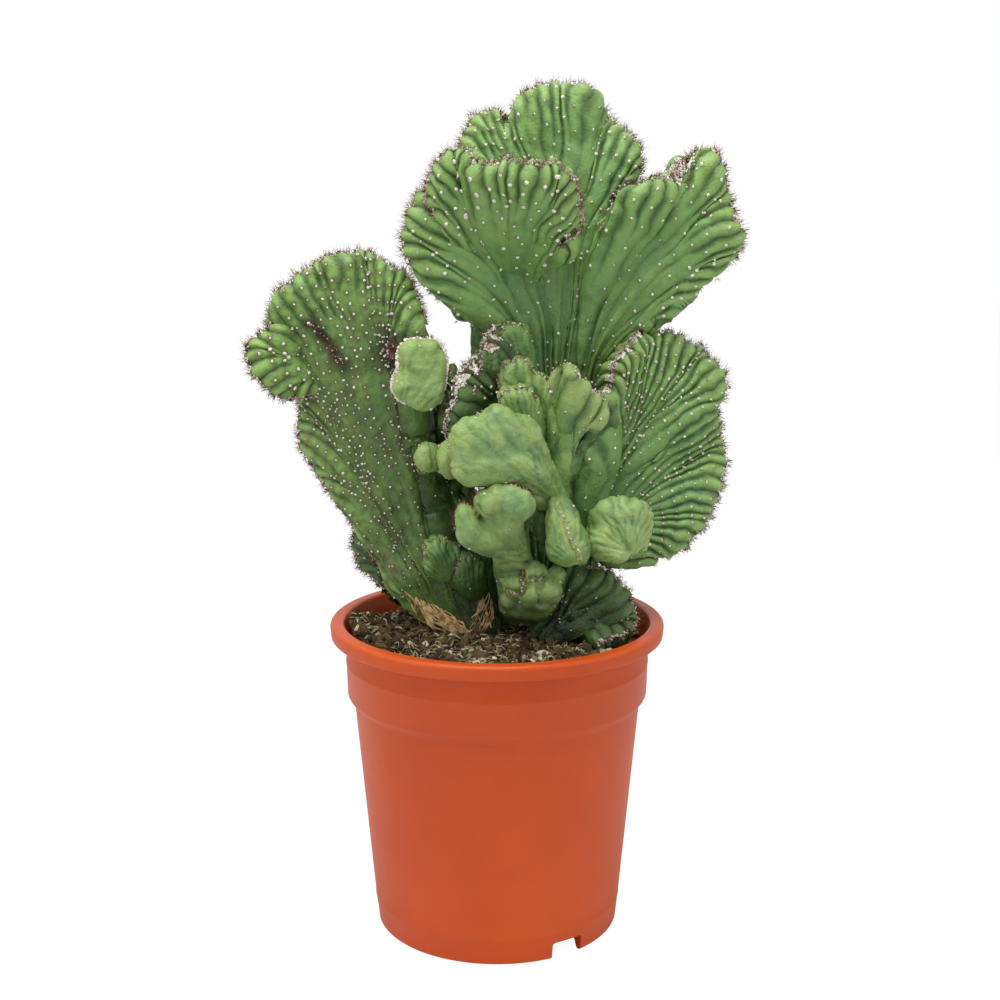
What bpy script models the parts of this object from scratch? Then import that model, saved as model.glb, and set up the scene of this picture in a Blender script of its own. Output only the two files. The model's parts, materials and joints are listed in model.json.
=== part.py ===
"""A crested cactus in a 17 cm plastic nursery pot.

The pot stands on the ground plane with its base centred on the origin, +Z up.  The plant is a group of
crested stems, fans whose growing tip has spread into a long wavy line, and of the smaller pads that grow
out of them.  Sizes in this file are millimetres and are turned into metres where a mesh is made.
"""

import math

import bmesh
import bpy
import numpy as np

MM = 0.001
GAP = 0.3  # clearance between two pieces that touch

# ---------------------------------------------------------------- driving dimensions
POT_HEIGHT = 160.6
RIM_RADIUS = 85.0
RIM_BAND = 7.6  # height of the turned-over rim
RIM_LIP = 7.0  # width of its top face, with the rounding
COLLAR_TOP_RADIUS = 77.6
COLLAR_FOOT_RADIUS = 76.7
COLLAR_FOOT = 123.0  # height at which the collar steps in
BODY_TOP = 119.0
BODY_TOP_RADIUS = 73.3
BASE_RADIUS = 62.6
WALL = 1.6
FLOOR_UNDERSIDE = 9.2
FLOOR_THICKNESS = 1.8
CENTRE_HOLE_RADIUS = 6.0
NOTCH_WIDTH = 17.5
NOTCH_DEPTH = 9.0  # how far in from outside the foot the cutter reaches
NOTCH_TOP = FLOOR_UNDERSIDE - 0.4
NOTCH_COUNT = 3
NOTCH_BEARING = -56.0  # bearing of the first notch from +X, in degrees
POT_SIDES = 36

MIX_LEVEL = 151.0  # height of the potting mix at its middle
MIX_FALL = 4.0  # how much lower it lies at +X than at -X, each way from the middle
MIX_SIDES = 28
MIX_RINGS = 4
MIX_EDGE_DROP = 1.2  # how much lower the mix lies where it meets the wall

VOXEL = 2.6  # grain in which folds that run into each other are merged
SQUARENESS = 0.6  # how square a crest's lines meet its crest line, 0 to 1
SIDE_SHARE = 0.15  # share of a crest line, from each end, over which its lines turn square
STEM_SHARE = 0.3  # share of a sheet's rows that each stretch of a straight stem takes
MERGE = 0.02  # points closer than this are one


# ---------------------------------------------------------------- materials
def finish(name, colour, roughness):
    """A plain material: colour as linear red, green and blue."""
    material = bpy.data.materials.new(name)
    material.use_nodes = True
    shader = material.node_tree.nodes["Principled BSDF"]
    shader.inputs["Base Color"].default_value = (*colour, 1.0)
    shader.inputs["Roughness"].default_value = roughness
    shader.inputs["Metallic"].default_value = 0.0
    return material


# ---------------------------------------------------------------- meshes
def add_node(name, mesh, material):
    """Puts a mesh in the scene as the node of that name."""
    mesh.name = name
    mesh.materials.clear()
    mesh.materials.append(material)
    node = bpy.data.objects.new(name, mesh)
    bpy.context.scene.collection.objects.link(node)
    mesh.shade_smooth()
    mesh.set_sharp_from_angle(angle=math.radians(40))
    return node


def mesh_from(name, points, faces):
    """A mesh from points in millimetres, with its faces turned outwards."""
    mesh = bpy.data.meshes.new(name)
    mesh.from_pydata([tuple(p * MM for p in point) for point in points], [], faces)
    shell = bmesh.new()
    shell.from_mesh(mesh)
    bmesh.ops.recalc_face_normals(shell, faces=shell.faces)
    shell.to_mesh(mesh)
    shell.free()
    return mesh


def with_modifiers(mesh, *settings):
    """The mesh after a stack of modifiers, each given as (kind, {setting: value})."""
    stand_in = bpy.data.objects.new("stand_in", mesh)
    bpy.context.scene.collection.objects.link(stand_in)
    for kind, values in settings:
        modifier = stand_in.modifiers.new(kind.lower(), kind)
        for setting, value in values.items():
            setattr(modifier, setting, value)
    view = bpy.context.evaluated_depsgraph_get()
    result = bpy.data.meshes.new_from_object(stand_in.evaluated_get(view), depsgraph=view)
    bpy.data.objects.remove(stand_in)
    return result


def largest_body(mesh):
    """Keeps the biggest connected body, with triangles only."""
    shell = bmesh.new()
    shell.from_mesh(mesh)
    unseen = set(shell.faces)
    bodies = []
    while unseen:
        body = [unseen.pop()]
        for face in body:
            for edge in face.edges:
                for other in edge.link_faces:
                    if other in unseen:
                        unseen.remove(other)
                        body.append(other)
        bodies.append(body)
    bodies.sort(key=lambda body: sum(face.calc_area() for face in body))
    for body in bodies[:-1]:
        bmesh.ops.delete(shell, geom=body, context="FACES")
    bmesh.ops.dissolve_degenerate(shell, edges=shell.edges, dist=MERGE * MM)
    bmesh.ops.triangulate(shell, faces=shell.faces)
    shell.to_mesh(mesh)
    shell.free()
    return mesh


def swollen(mesh, distance):
    """A copy of the mesh grown outwards by a distance in millimetres."""
    grown = mesh.copy()
    shell = bmesh.new()
    shell.from_mesh(grown)
    shell.normal_update()
    step = {vertex: vertex.normal * vertex.calc_shell_factor() for vertex in shell.verts}
    for vertex, way in step.items():
        vertex.co += way * min(1.0, 1.6 / max(way.length, 0.01)) * distance * MM
    shell.to_mesh(grown)
    shell.free()
    return grown


def carve(mesh, *neighbours):
    """Cuts the mesh back to its neighbours, leaving the clearance to each.

    The neighbours' closely folded surfaces trip the exact solver, so this one cut uses the manifold solver.
    """
    for neighbour in neighbours:
        cutter = bpy.data.objects.new("cutter", swollen(neighbour, GAP))
        cutter.hide_render = True
        cutter.display_type = "WIRE"
        bpy.context.scene.collection.objects.link(cutter)
        cut = {"operation": "DIFFERENCE", "solver": "MANIFOLD", "object": cutter}
        mesh = with_modifiers(mesh, ("BOOLEAN", cut))
        bpy.data.objects.remove(cutter)
    return largest_body(mesh)


# ---------------------------------------------------------------- pot
def arc(centre, radius, start, end, count):
    """Points (radius, height) on an arc of a turned profile, angles in degrees."""
    angles = [math.radians(start + (end - start) * i / (count - 1)) for i in range(count)]
    return [(centre[0] + radius * math.cos(a), centre[1] + radius * math.sin(a)) for a in angles]


def turned(name, profile, sides):
    """A ring turned about Z from a closed profile of (radius, height) points."""
    count = len(profile)
    points = []
    for side in range(sides):
        angle = math.tau * side / sides
        points += [(r * math.cos(angle), r * math.sin(angle), z) for r, z in profile]
    faces = []
    for side in range(sides):
        here = side * count
        there = (side + 1) % sides * count
        for i in range(count):
            j = (i + 1) % count
            faces.append((here + i, here + j, there + j, there + i))
    return mesh_from(name, points, faces)


def pot_profile():
    """The pot's section, from the foot up the outside, over the rim and down the inside."""
    rim_foot = POT_HEIGHT - RIM_BAND
    floor_top = FLOOR_UNDERSIDE + FLOOR_THICKNESS
    outside = [
        (BASE_RADIUS - 1.6, 0.0),
        *arc((BASE_RADIUS - 1.6, 1.6), 1.6, -60, 0, 3),
        (BODY_TOP_RADIUS, BODY_TOP),
        (COLLAR_FOOT_RADIUS - 0.6, COLLAR_FOOT - 1.0),
        (COLLAR_FOOT_RADIUS, COLLAR_FOOT),
        (COLLAR_TOP_RADIUS, rim_foot),
        (RIM_RADIUS - 0.8, rim_foot),
    ]
    rim = arc((RIM_RADIUS - 2.2, POT_HEIGHT - 2.2), 2.2, 0, 90, 4)
    rim += arc((RIM_RADIUS - RIM_LIP + 1.2, POT_HEIGHT - 1.4), 1.4, 90, 180, 3)
    inside = [
        (COLLAR_TOP_RADIUS - WALL, rim_foot),
        (COLLAR_FOOT_RADIUS - WALL, COLLAR_FOOT),
        (BODY_TOP_RADIUS - WALL, BODY_TOP),
        (BASE_RADIUS + 0.4 - WALL, floor_top + 3.0),
        (BASE_RADIUS - 2.6 - WALL, floor_top),
        (CENTRE_HOLE_RADIUS, floor_top),
        (CENTRE_HOLE_RADIUS, FLOOR_UNDERSIDE),
        (BASE_RADIUS - 7.5, FLOOR_UNDERSIDE),
        (BASE_RADIUS - 3.2, 0.0),
    ]
    return outside + rim + inside


def block(name, size, centre, bearing):
    """A box standing along a bearing from the origin: size and centre as (out, across, up)."""
    angle = math.radians(bearing)
    out = (math.cos(angle), math.sin(angle))
    points = []
    for up in (-0.5, 0.5):
        for o, a in ((-0.5, -0.5), (0.5, -0.5), (0.5, 0.5), (-0.5, 0.5)):
            radial = centre[0] + o * size[0]
            side = centre[1] + a * size[1]
            x = radial * out[0] - side * out[1]
            y = radial * out[1] + side * out[0]
            points.append((x, y, centre[2] + up * size[2]))
    faces = [(0, 3, 2, 1), (4, 5, 6, 7), (0, 1, 5, 4), (1, 2, 6, 5), (2, 3, 7, 6), (3, 0, 4, 7)]
    return mesh_from(name, points, faces)


def make_pot():
    """The pot: a thin turned shell whose foot ring has drainage notches."""
    mesh = turned("pot", pot_profile(), POT_SIDES)
    below = 2.0  # the cutter starts this far under the foot
    size = (NOTCH_DEPTH, NOTCH_WIDTH, NOTCH_TOP + below)
    centre = (BASE_RADIUS - 1.5, 0.0, (NOTCH_TOP - below) / 2)
    for index in range(NOTCH_COUNT):
        bearing = NOTCH_BEARING + index * 360.0 / NOTCH_COUNT
        cutter = bpy.data.objects.new("notch", block("notch", size, centre, bearing))
        bpy.context.scene.collection.objects.link(cutter)
        cut = {"operation": "DIFFERENCE", "solver": "MANIFOLD", "object": cutter}
        mesh = with_modifiers(mesh, ("BOOLEAN", cut))
        bpy.data.objects.remove(cutter)
    return largest_body(mesh)


# ---------------------------------------------------------------- potting mix
def mix_height(x, y):
    """Height of the uneven top of the potting mix."""
    lumps = 1.3 * math.sin(0.11 * x + 1.0) * math.cos(0.13 * y) + 0.8 * math.sin(0.23 * x - 0.19 * y)
    return MIX_LEVEL - MIX_FALL * x / COLLAR_TOP_RADIUS + lumps


def make_mix():
    """The potting mix: it fills the pot to a little under the rim."""
    floor = FLOOR_UNDERSIDE + FLOOR_THICKNESS + GAP
    inner = WALL + GAP + 0.25  # the wall's facets bend in a little between its corners
    wall = [
        (BASE_RADIUS - 2.9 - inner, floor),
        (BASE_RADIUS + 0.1 - inner, floor + 3.0),
        (BODY_TOP_RADIUS - 0.2 - inner, BODY_TOP - 0.3),
        (COLLAR_FOOT_RADIUS - 0.2 - inner, COLLAR_FOOT + 0.2),
    ]
    top_radius = COLLAR_TOP_RADIUS - 0.5 - inner
    points = []
    for side in range(MIX_SIDES):
        angle = math.tau * side / MIX_SIDES
        x, y = math.cos(angle), math.sin(angle)
        points += [(r * x, r * y, z) for r, z in wall]
        for ring in range(MIX_RINGS):
            r = top_radius * (1 - ring / MIX_RINGS)
            drop = MIX_EDGE_DROP if ring == 0 else 0.0
            points.append((r * x, r * y, mix_height(r * x, r * y) - drop))
    column = len(wall) + MIX_RINGS
    points.append((0.0, 0.0, mix_height(0.0, 0.0)))
    points.append((0.0, 0.0, floor))
    crown = MIX_SIDES * column
    faces = []
    for side in range(MIX_SIDES):
        here = side * column
        there = (side + 1) % MIX_SIDES * column
        faces += [(here + i, there + i, there + i + 1, here + i + 1) for i in range(column - 1)]
        faces.append((here + column - 1, there + column - 1, crown))
        faces.append((here, crown + 1, there))
    return mesh_from("potting_mix", points, faces)


# ---------------------------------------------------------------- crested stems
def smooth_line(points, count):
    """Evenly spaced points on a smooth curve through the given ones."""
    points = np.array(points, float)
    ends = np.vstack([2 * points[0] - points[1], points, 2 * points[-1] - points[-2]])
    dense = []
    for i in range(len(points) - 1):
        a, b, c, d = ends[i : i + 4]
        for t in np.linspace(0, 1, 16, endpoint=False):
            bend = (2 * a - 5 * b + 4 * c - d) * t**2 + (3 * b - a - 3 * c + d) * t**3
            dense.append(0.5 * (2 * b + (c - a) * t + bend))
    dense.append(points[-1])
    dense = np.array(dense)
    run = np.concatenate([[0], np.cumsum(np.linalg.norm(np.diff(dense, axis=0), axis=1))])
    wanted = np.linspace(0, run[-1], count)
    return np.stack([np.interp(wanted, run, dense[:, k]) for k in range(3)], axis=1)


def unit(vectors):
    return vectors / np.maximum(np.linalg.norm(vectors, axis=-1, keepdims=True), 1e-9)


def eased(rows, width):
    """The rows smoothed over a few neighbours, with the ends held."""
    padded = np.pad(rows, ((width, width), (0, 0)), mode="edge")
    return np.mean([padded[k : k + len(rows)] for k in range(2 * width + 1)], axis=0)


def fan_sheet(fan, across, along):
    """The middle sheet of a crest: its lines start at the foot, rise with the stem and spread.

    They meet the crest line nearly square, or come to it by way of the fan's guide points where it has some.
    """
    crest = smooth_line(fan["crest"], across)
    place = np.linspace(0, 1, across)[:, None]
    stem = [np.array(left) * (1 - place) + np.array(right) * place for left, right in fan["stem"]]
    rise = unit(np.array(fan["rise"], float))
    rows = []
    for lower, upper in zip(stem[:-1], stem[1:]):
        part = max(3, round(along * STEM_SHARE))
        rows += [lower + (upper - lower) * k / part for k in range(part)]
    start = stem[-1]
    chord = crest - start
    reach = np.linalg.norm(chord, axis=1, keepdims=True)
    leave = start + rise * reach / 3
    if "guides" in fan:
        arrive = smooth_line(fan["guides"], across)
    else:
        tangent = unit(np.gradient(eased(crest, across // 24), axis=0))
        square = unit(eased(chord - np.sum(chord * tangent, axis=1, keepdims=True) * tangent, across // 24))
        side = np.minimum(place, 1 - place)
        turn = SQUARENESS * np.clip(side / SIDE_SHARE, 0, 1)
        arrive = crest - unit(turn * square + (1 - turn) * unit(chord)) * reach / 3
    rest = along - len(rows)
    for k in range(rest):
        t = math.sin(math.pi / 2 * k / (rest - 1))
        low = (1 - t) ** 3 * start + 3 * t * (1 - t) ** 2 * leave
        rows.append(low + 3 * t**2 * (1 - t) * arrive + t**3 * crest)
    return np.stack(rows, axis=1)


def fan_body(name, fan, across=150, along=36):
    """A closed fan: the sheet given its thickness, rounded over at the crest line and at both sides."""
    sheet = fan_sheet(fan, across, along)
    down = np.gradient(sheet, axis=0)
    out = np.gradient(sheet, axis=1)
    normal = unit(np.cross(down, out))
    step_out = np.linalg.norm(np.diff(sheet, axis=1), axis=2)
    from_foot = np.concatenate([np.zeros((across, 1)), np.cumsum(step_out, axis=1)], axis=1)
    to_crest = from_foot[:, -1:] - from_foot
    step_side = np.linalg.norm(np.diff(sheet, axis=0), axis=2)
    from_left = np.concatenate([np.zeros((1, along)), np.cumsum(step_side, axis=0)], axis=0)
    to_side = np.minimum(from_left, from_left[-1:] - from_left)
    share = from_foot / np.maximum(from_foot[:, -1:], 1e-6)
    foot, middle, edge = fan["thick"]
    half = 0.5 * np.interp(share, [0.0, 0.6, 1.0], [foot, middle, edge])
    near = np.clip(np.minimum(to_crest, to_side) / half, 0, 1)
    half = half * np.sqrt(1 - (1 - near) ** 2)
    front = (sheet + normal * half[..., None]).reshape(-1, 3)
    back = (sheet - normal * half[..., None]).reshape(-1, 3)
    points = np.vstack([front, back])
    size = across * along
    faces = []
    for i in range(across - 1):
        for j in range(along - 1):
            a = i * along + j
            corners = (a, a + 1, a + along + 1, a + along)
            faces.append(corners)
            faces.append(tuple(size + c for c in reversed(corners)))
        a = i * along
        faces.append((a, a + along, size + a + along, size + a))
    mesh = mesh_from(name, points, faces)
    shell = bmesh.new()
    shell.from_mesh(mesh)
    bmesh.ops.remove_doubles(shell, verts=shell.verts, dist=MERGE * MM)
    bmesh.ops.recalc_face_normals(shell, faces=shell.faces)
    shell.to_mesh(mesh)
    shell.free()
    return mesh


def make_fan(name, fan):
    """A crest or pad as a clean closed solid of about fan['triangles'] triangles."""
    remesh = {"mode": "VOXEL", "voxel_size": VOXEL * MM}
    mesh = largest_body(with_modifiers(fan_body(name, fan), ("REMESH", remesh)))
    ratio = fan["triangles"] / len(mesh.polygons)
    mesh = with_modifiers(mesh, ("DECIMATE", {"ratio": min(1.0, ratio)}))
    return largest_body(mesh)


# Each crest: the cross lines of its stem from the foot up, the way it rises from the last of them, its crest
# line from the left side over the top to the right side, and its thickness at foot, middle and crest line.
FANS = {
    "left_crest": {
        "stem": [((-24, 3, 136), (6, 5, 136)), ((-30, 3, 150), (3, 5, 149))],
        "rise": (-0.42, 0.0, 0.9),
        "crest": [
            (-53, 6, 174), (-65, 3, 196), (-76, 0, 216), (-88, -2, 233), (-96, -3, 248),
            (-98, -1, 262), (-93, 5, 271),
            (-105, -10, 277), (-113, -16, 281), (-119, -19, 289), (-118, -18, 301),
            (-111, -8, 310), (-103, 2, 308),
            (-106, 6, 317), (-108, 1, 324), (-98, -7, 335), (-81, -6, 344), (-66, -1, 346), (-50, 0, 338),
            (-40, -6, 327), (-36, -6, 313), (-42, 5, 302), (-49, 11, 295), (-47, 7, 288), (-41, -3, 274),
            (-35, -7, 255), (-31, 2, 242), (-22, 8, 225), (-16, 9, 205), (-10, 8, 174),
        ],
        "guides": [
            (-38, 5, 170), (-60, 3, 212), (-74, 2, 245), (-82, 0, 292), (-88, -2, 312),
            (-84, 0, 318), (-72, 1, 316),
            (-60, 0, 306), (-52, 3, 290), (-46, 3, 265), (-38, 5, 235), (-28, 7, 200),
        ],
        "thick": (34, 22, 15),
        "triangles": 1000,
    },
    "upper_crest": {
        "stem": [
            ((-5, 26, 136), (45, 26, 136)), ((3, 23, 205), (50, 23, 205)), ((16, 14, 268), (49, 15, 272)),
        ],
        "rise": (0.03, 0.0, 1.0),
        "crest": [
            (-13, 8, 320), (-27, 2, 323), (-38, -6, 333), (-45, -12, 347), (-44, -13, 362), (-37, -13, 374),
            (-31, -16, 388), (-20, -17, 394), (-10, -26, 388), (4, -39, 389), (18, -44, 389),
            (31, -43, 385),
            (38, -33, 376), (38, -16, 367), (31, 2, 375), (17, 12, 386), (-6, 14, 393), (-15, 18, 402),
            (-11, 24, 411), (1, 28, 414), (6, 22, 407), (11, 20, 420), (25, 22, 425),
            (42, 24, 425), (54, 29, 412),
            (67, 21, 400), (71, 16, 387), (68, 20, 376), (62, 30, 367), (64, 10, 375),
            (72, 0, 381), (84, 0, 380),
            (90, 8, 388), (99, 4, 396), (108, -2, 389), (112, -3, 371), (118, -5, 357), (118, -7, 346),
            (109, -10, 338), (98, -9, 327), (86, 3, 329), (79, 8, 324),
        ],
        "thick": (36, 20, 14),
        "triangles": 1400,
    },
    "right_crest": {
        "stem": [((34, 4, 136), (55, 6, 136)), ((32, -2, 195), (48, 2, 190))],
        "rise": (0.35, 0.0, 0.9),
        "crest": [
            (50, 4, 249), (52, -5, 264), (55, -10, 280), (60, -9, 295), (70, 1, 305),
            (85, 10, 306), (99, 12, 299),
            (109, 9, 291), (114, 3, 281), (111, 1, 273), (106, 11, 267), (113, 18, 259),
            (111, 12, 248), (115, 5, 240),
            (112, 1, 226), (106, -1, 211), (93, -3, 197), (80, 1, 192), (67, 8, 198), (57, 11, 203),
        ],
        "thick": (30, 20, 13),
        "triangles": 900,
    },
    "base_fan": {
        "stem": [((12, -6, 138), (32, -10, 138)), ((13, -8, 146), (34, -12, 146))],
        "rise": (0.4, -0.1, 0.8),
        "crest": [
            (24, -14, 184), (32, -16, 192), (45, -18, 192), (57, -17, 188), (61, -14, 183), (58, -10, 178),
            (65, -17, 177), (69, -20, 168), (64, -26, 161), (49, -36, 157),
        ],
        "thick": (26, 24, 14),
        "triangles": 320,
    },
    "centre_fan": {
        "stem": [((31, -6, 198), (43, -4, 198))],
        "rise": (-0.05, -0.15, 1.0),
        "crest": [
            (25, -8, 268), (25, -13, 282), (31, -17, 291), (40, -22, 289), (45, -27, 281), (52, -24, 278),
            (52, -18, 266), (49, -13, 254), (43, -10, 238),
        ],
        "thick": (18, 15, 11),
        "triangles": 240,
    },
    "front_pad": {
        "stem": [((30, -17, 222), (34, -14, 237))],
        "rise": (-0.9, -0.35, 0.25),
        "crest": [
            (14, -30, 234), (1, -39, 235), (-12, -46, 238), (-21, -48, 246), (-24, -46, 257),
            (-20, -41, 269),
            (-10, -38, 271), (-3, -34, 276), (8, -28, 270), (17, -24, 261), (24, -20, 252),
        ],
        "thick": (14, 20, 13),
        "triangles": 260,
    },
    "edge_crest": {
        "stem": [((20, 14, 276), (16, 16, 238))],
        "rise": (-1.0, -0.5, 0.2),
        "crest": [
            (3, 2, 313), (-3, -8, 305), (-9, -16, 298), (-17, -22, 287), (-22, -23, 276), (-25, -20, 264),
            (-23, -13, 252),
        ],
        "thick": (22, 22, 13),
        "triangles": 200,
    },
    "round_pad": {
        "stem": [((-48, 4, 266), (-38, 2, 268))],
        "rise": (0.1, -0.7, 0.5),
        "crest": [
            (-46, -12, 272), (-51, -19, 280), (-49, -23, 292), (-42, -24, 304), (-33, -24, 306),
            (-25, -21, 299),
            (-24, -17, 288), (-29, -10, 274),
        ],
        "thick": (12, 14, 10),
        "triangles": 180,
    },
    "mid_lobe": {
        "stem": [((12, 5, 244), (26, 4, 244))],
        "rise": (-0.1, -0.4, 1.0),
        "crest": [
            (2, -10, 275), (0, -15, 288), (6, -17, 295), (14, -16, 295), (18, -15, 289), (25, -21, 286),
            (28, -20, 276), (22, -10, 265),
        ],
        "thick": (16, 15, 11),
        "triangles": 180,
    },
    "low_lobe": {
        "stem": [((12, -8, 246), (21, -8, 248))],
        "rise": (-0.4, -0.6, 0.8),
        "crest": [(6, -22, 266), (1, -27, 276), (5, -28, 284), (13, -25, 283), (20, -19, 272)],
        "thick": (13, 14, 10),
        "triangles": 130,
    },
    "finger_bud": {
        "stem": [((10, 15, 272), (22, 15, 278))],
        "rise": (-0.6, 0.0, 0.8),
        "crest": [(-11, 12, 298), (-13, 9, 310), (-8, 8, 321), (-3, 10, 311), (1, 12, 300)],
        "thick": (14, 13, 11),
        "triangles": 120,
    },
    "stem_bud": {
        "stem": [((18, 8, 268), (30, 8, 272))],
        "rise": (-0.4, -0.5, 0.9),
        "crest": [(4, -3, 294), (2, -5, 305), (7, -6, 313), (13, -5, 308), (17, -3, 297)],
        "thick": (14, 13, 11),
        "triangles": 120,
    },
    "inner_twin": {
        "stem": [((-10, -6, 252), (-10, -6, 238))],
        "rise": (-1.0, -0.9, 0.0),
        "crest": [(-24, -27, 239), (-29, -29, 247), (-23, -27, 256)],
        "thick": (12, 15, 10),
        "triangles": 100,
    },
    "outer_twin": {
        "stem": [((-21, -14, 252), (-21, -14, 241))],
        "rise": (-1.0, -0.4, 0.0),
        "crest": [(-32, -21, 239), (-39, -26, 247), (-32, -22, 256)],
        "thick": (11, 14, 10),
        "triangles": 100,
    },
    "forked_pad": {
        "stem": [((6, 12, 176), (20, 12, 178))],
        "rise": (0.0, -0.9, 0.5),
        "crest": [
            (9, -28, 202), (8, -38, 214), (13, -46, 226), (10, -50, 236), (-2, -51, 239), (-9, -49, 232),
            (-7, -45, 224), (-12, -51, 230), (-20, -55, 223), (-17, -52, 212), (-9, -43, 204),
            (1, -34, 197),
        ],
        "thick": (14, 14, 12),
        "triangles": 240,
    },
    "clam_pad": {
        "stem": [((30, -10, 220), (39, -8, 196))],
        "rise": (0.12, -1.0, 0.0),
        "crest": [
            (27, -30, 229), (31, -42, 228), (37, -48, 219), (41, -47, 208), (39, -40, 200), (35, -30, 195),
        ],
        "thick": (18, 26, 13),
        "triangles": 180,
    },
    "folded_pad": {
        "stem": [((56, 0, 218), (54, 0, 198))],
        "rise": (0.3, -0.9, 0.0),
        "crest": [
            (64, -22, 228), (73, -29, 228), (76, -33, 222), (72, -38, 213), (65, -44, 207), (59, -38, 211),
            (61, -46, 205), (62, -41, 200), (56, -34, 195), (51, -24, 195),
        ],
        "thick": (18, 25, 12),
        "triangles": 220,
    },
    "upper_gap_bud": {
        "stem": [((30, -12, 231), (31, -12, 219))],
        "rise": (-0.8, -0.7, 0.1),
        "crest": [(20, -28, 235), (14, -32, 229), (20, -27, 220)],
        "thick": (11, 13, 10),
        "triangles": 90,
    },
    "lower_gap_bud": {
        "stem": [((34, -6, 200), (32, -6, 214))],
        "rise": (-0.7, -0.8, 0.1),
        "crest": [(20, -20, 202), (17, -27, 212), (21, -26, 222)],
        "thick": (11, 12, 9),
        "triangles": 90,
    },
    "knob_crest": {
        "stem": [((8, -6, 152), (30, -8, 152))],
        "rise": (0.0, -0.6, 0.8),
        "crest": [
            (1, -22, 168), (3, -29, 179), (10, -33, 183), (14, -31, 181), (20, -36, 187), (26, -34, 184),
            (32, -34, 189), (38, -28, 184), (37, -22, 174),
        ],
        "thick": (18, 20, 14),
        "triangles": 220,
    },
    "left_shade_bud": {
        "stem": [((-27, 5, 177), (-18, 6, 178))],
        "rise": (-0.2, -0.7, 0.6),
        "crest": [(-33, -10, 190), (-35, -16, 203), (-26, -18, 210), (-18, -15, 202), (-17, -11, 194)],
        "thick": (14, 16, 11),
        "triangles": 130,
    },
    "right_shade_bud": {
        "stem": [((-25, 6, 164), (-16, 7, 166))],
        "rise": (0.4, -0.7, 0.6),
        "crest": [(-20, -12, 183), (-21, -17, 194), (-14, -18, 201), (-8, -15, 194), (-8, -10, 183)],
        "thick": (13, 15, 10),
        "triangles": 130,
    },
    "rear_lobe": {
        "stem": [((-44, 15, 160), (-32, 16, 157))],
        "rise": (-0.5, 0.2, 0.8),
        "crest": [(-57, 17, 170), (-69, 20, 181), (-75, 22, 194), (-71, 23, 203), (-59, 20, 199)],
        "thick": (16, 14, 11),
        "triangles": 140,
    },
}

YOUNG = {
    "front_pad", "forked_pad", "clam_pad", "folded_pad", "round_pad", "knob_crest", "upper_gap_bud",
    "inner_twin", "outer_twin",
}


def boxes_meet(one, other):
    """Whether two meshes' boxes come within 2 mm of each other."""
    margin = 2 * MM
    for axis in range(3):
        a = [v.co[axis] for v in one.vertices]
        b = [v.co[axis] for v in other.vertices]
        if max(a) + margin < min(b) or max(b) + margin < min(a):
            return False
    return True


def main():
    for old in list(bpy.data.objects):
        bpy.data.objects.remove(old)
    plastic = finish("terracotta_plastic", (0.50, 0.088, 0.025), 0.42)
    peat = finish("potting_mix", (0.045, 0.032, 0.020), 0.95)
    old_skin = finish("stem_skin", (0.045, 0.125, 0.045), 0.5)
    young_skin = finish("young_skin", (0.16, 0.30, 0.075), 0.45)

    add_node("pot", make_pot(), plastic)
    grown = []  # the stems so far, each as it would be with nothing in its way
    for name, fan in FANS.items():
        whole = make_fan(name, fan)
        fitted = carve(whole.copy(), *[other for other in grown if boxes_meet(whole, other)])
        grown.append(whole)
        add_node(name, fitted, young_skin if name in YOUNG else old_skin)
    mix = make_mix()
    add_node("potting_mix", carve(mix, *[whole for whole in grown if boxes_meet(mix, whole)]), peat)


main()
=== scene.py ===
import json
import math

import bmesh
import bpy
import numpy as np
from mathutils import Matrix, Vector
from mathutils.bvhtree import BVHTree
from mathutils.kdtree import KDTree

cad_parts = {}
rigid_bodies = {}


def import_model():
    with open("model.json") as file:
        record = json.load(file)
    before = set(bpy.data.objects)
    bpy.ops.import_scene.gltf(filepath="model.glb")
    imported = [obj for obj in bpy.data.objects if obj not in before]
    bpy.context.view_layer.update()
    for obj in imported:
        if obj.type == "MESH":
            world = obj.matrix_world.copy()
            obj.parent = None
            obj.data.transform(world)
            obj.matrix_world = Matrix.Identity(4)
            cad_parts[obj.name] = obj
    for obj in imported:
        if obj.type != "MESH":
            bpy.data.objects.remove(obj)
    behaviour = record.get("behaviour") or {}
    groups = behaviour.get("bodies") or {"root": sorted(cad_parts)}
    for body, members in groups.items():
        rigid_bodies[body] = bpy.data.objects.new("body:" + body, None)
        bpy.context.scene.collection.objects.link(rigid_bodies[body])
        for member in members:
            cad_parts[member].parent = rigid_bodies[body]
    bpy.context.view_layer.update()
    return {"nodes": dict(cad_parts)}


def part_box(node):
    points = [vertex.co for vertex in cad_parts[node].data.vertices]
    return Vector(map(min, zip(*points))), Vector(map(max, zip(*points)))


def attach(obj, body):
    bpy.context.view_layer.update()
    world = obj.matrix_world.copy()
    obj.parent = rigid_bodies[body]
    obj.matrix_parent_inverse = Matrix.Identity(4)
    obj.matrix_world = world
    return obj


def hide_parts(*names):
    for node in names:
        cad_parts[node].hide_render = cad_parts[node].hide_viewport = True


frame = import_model()
mm = 0.001
print("frame loaded:", len(frame["nodes"]), "nodes")


# small helpers
def linear(hexColour):
    parts = [int(hexColour[i : i + 2], 16) / 255 for i in (1, 3, 5)]
    return (*[c / 12.92 if c <= 0.04045 else ((c + 0.055) / 1.055) ** 2.4 for c in parts], 1.0)


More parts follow.
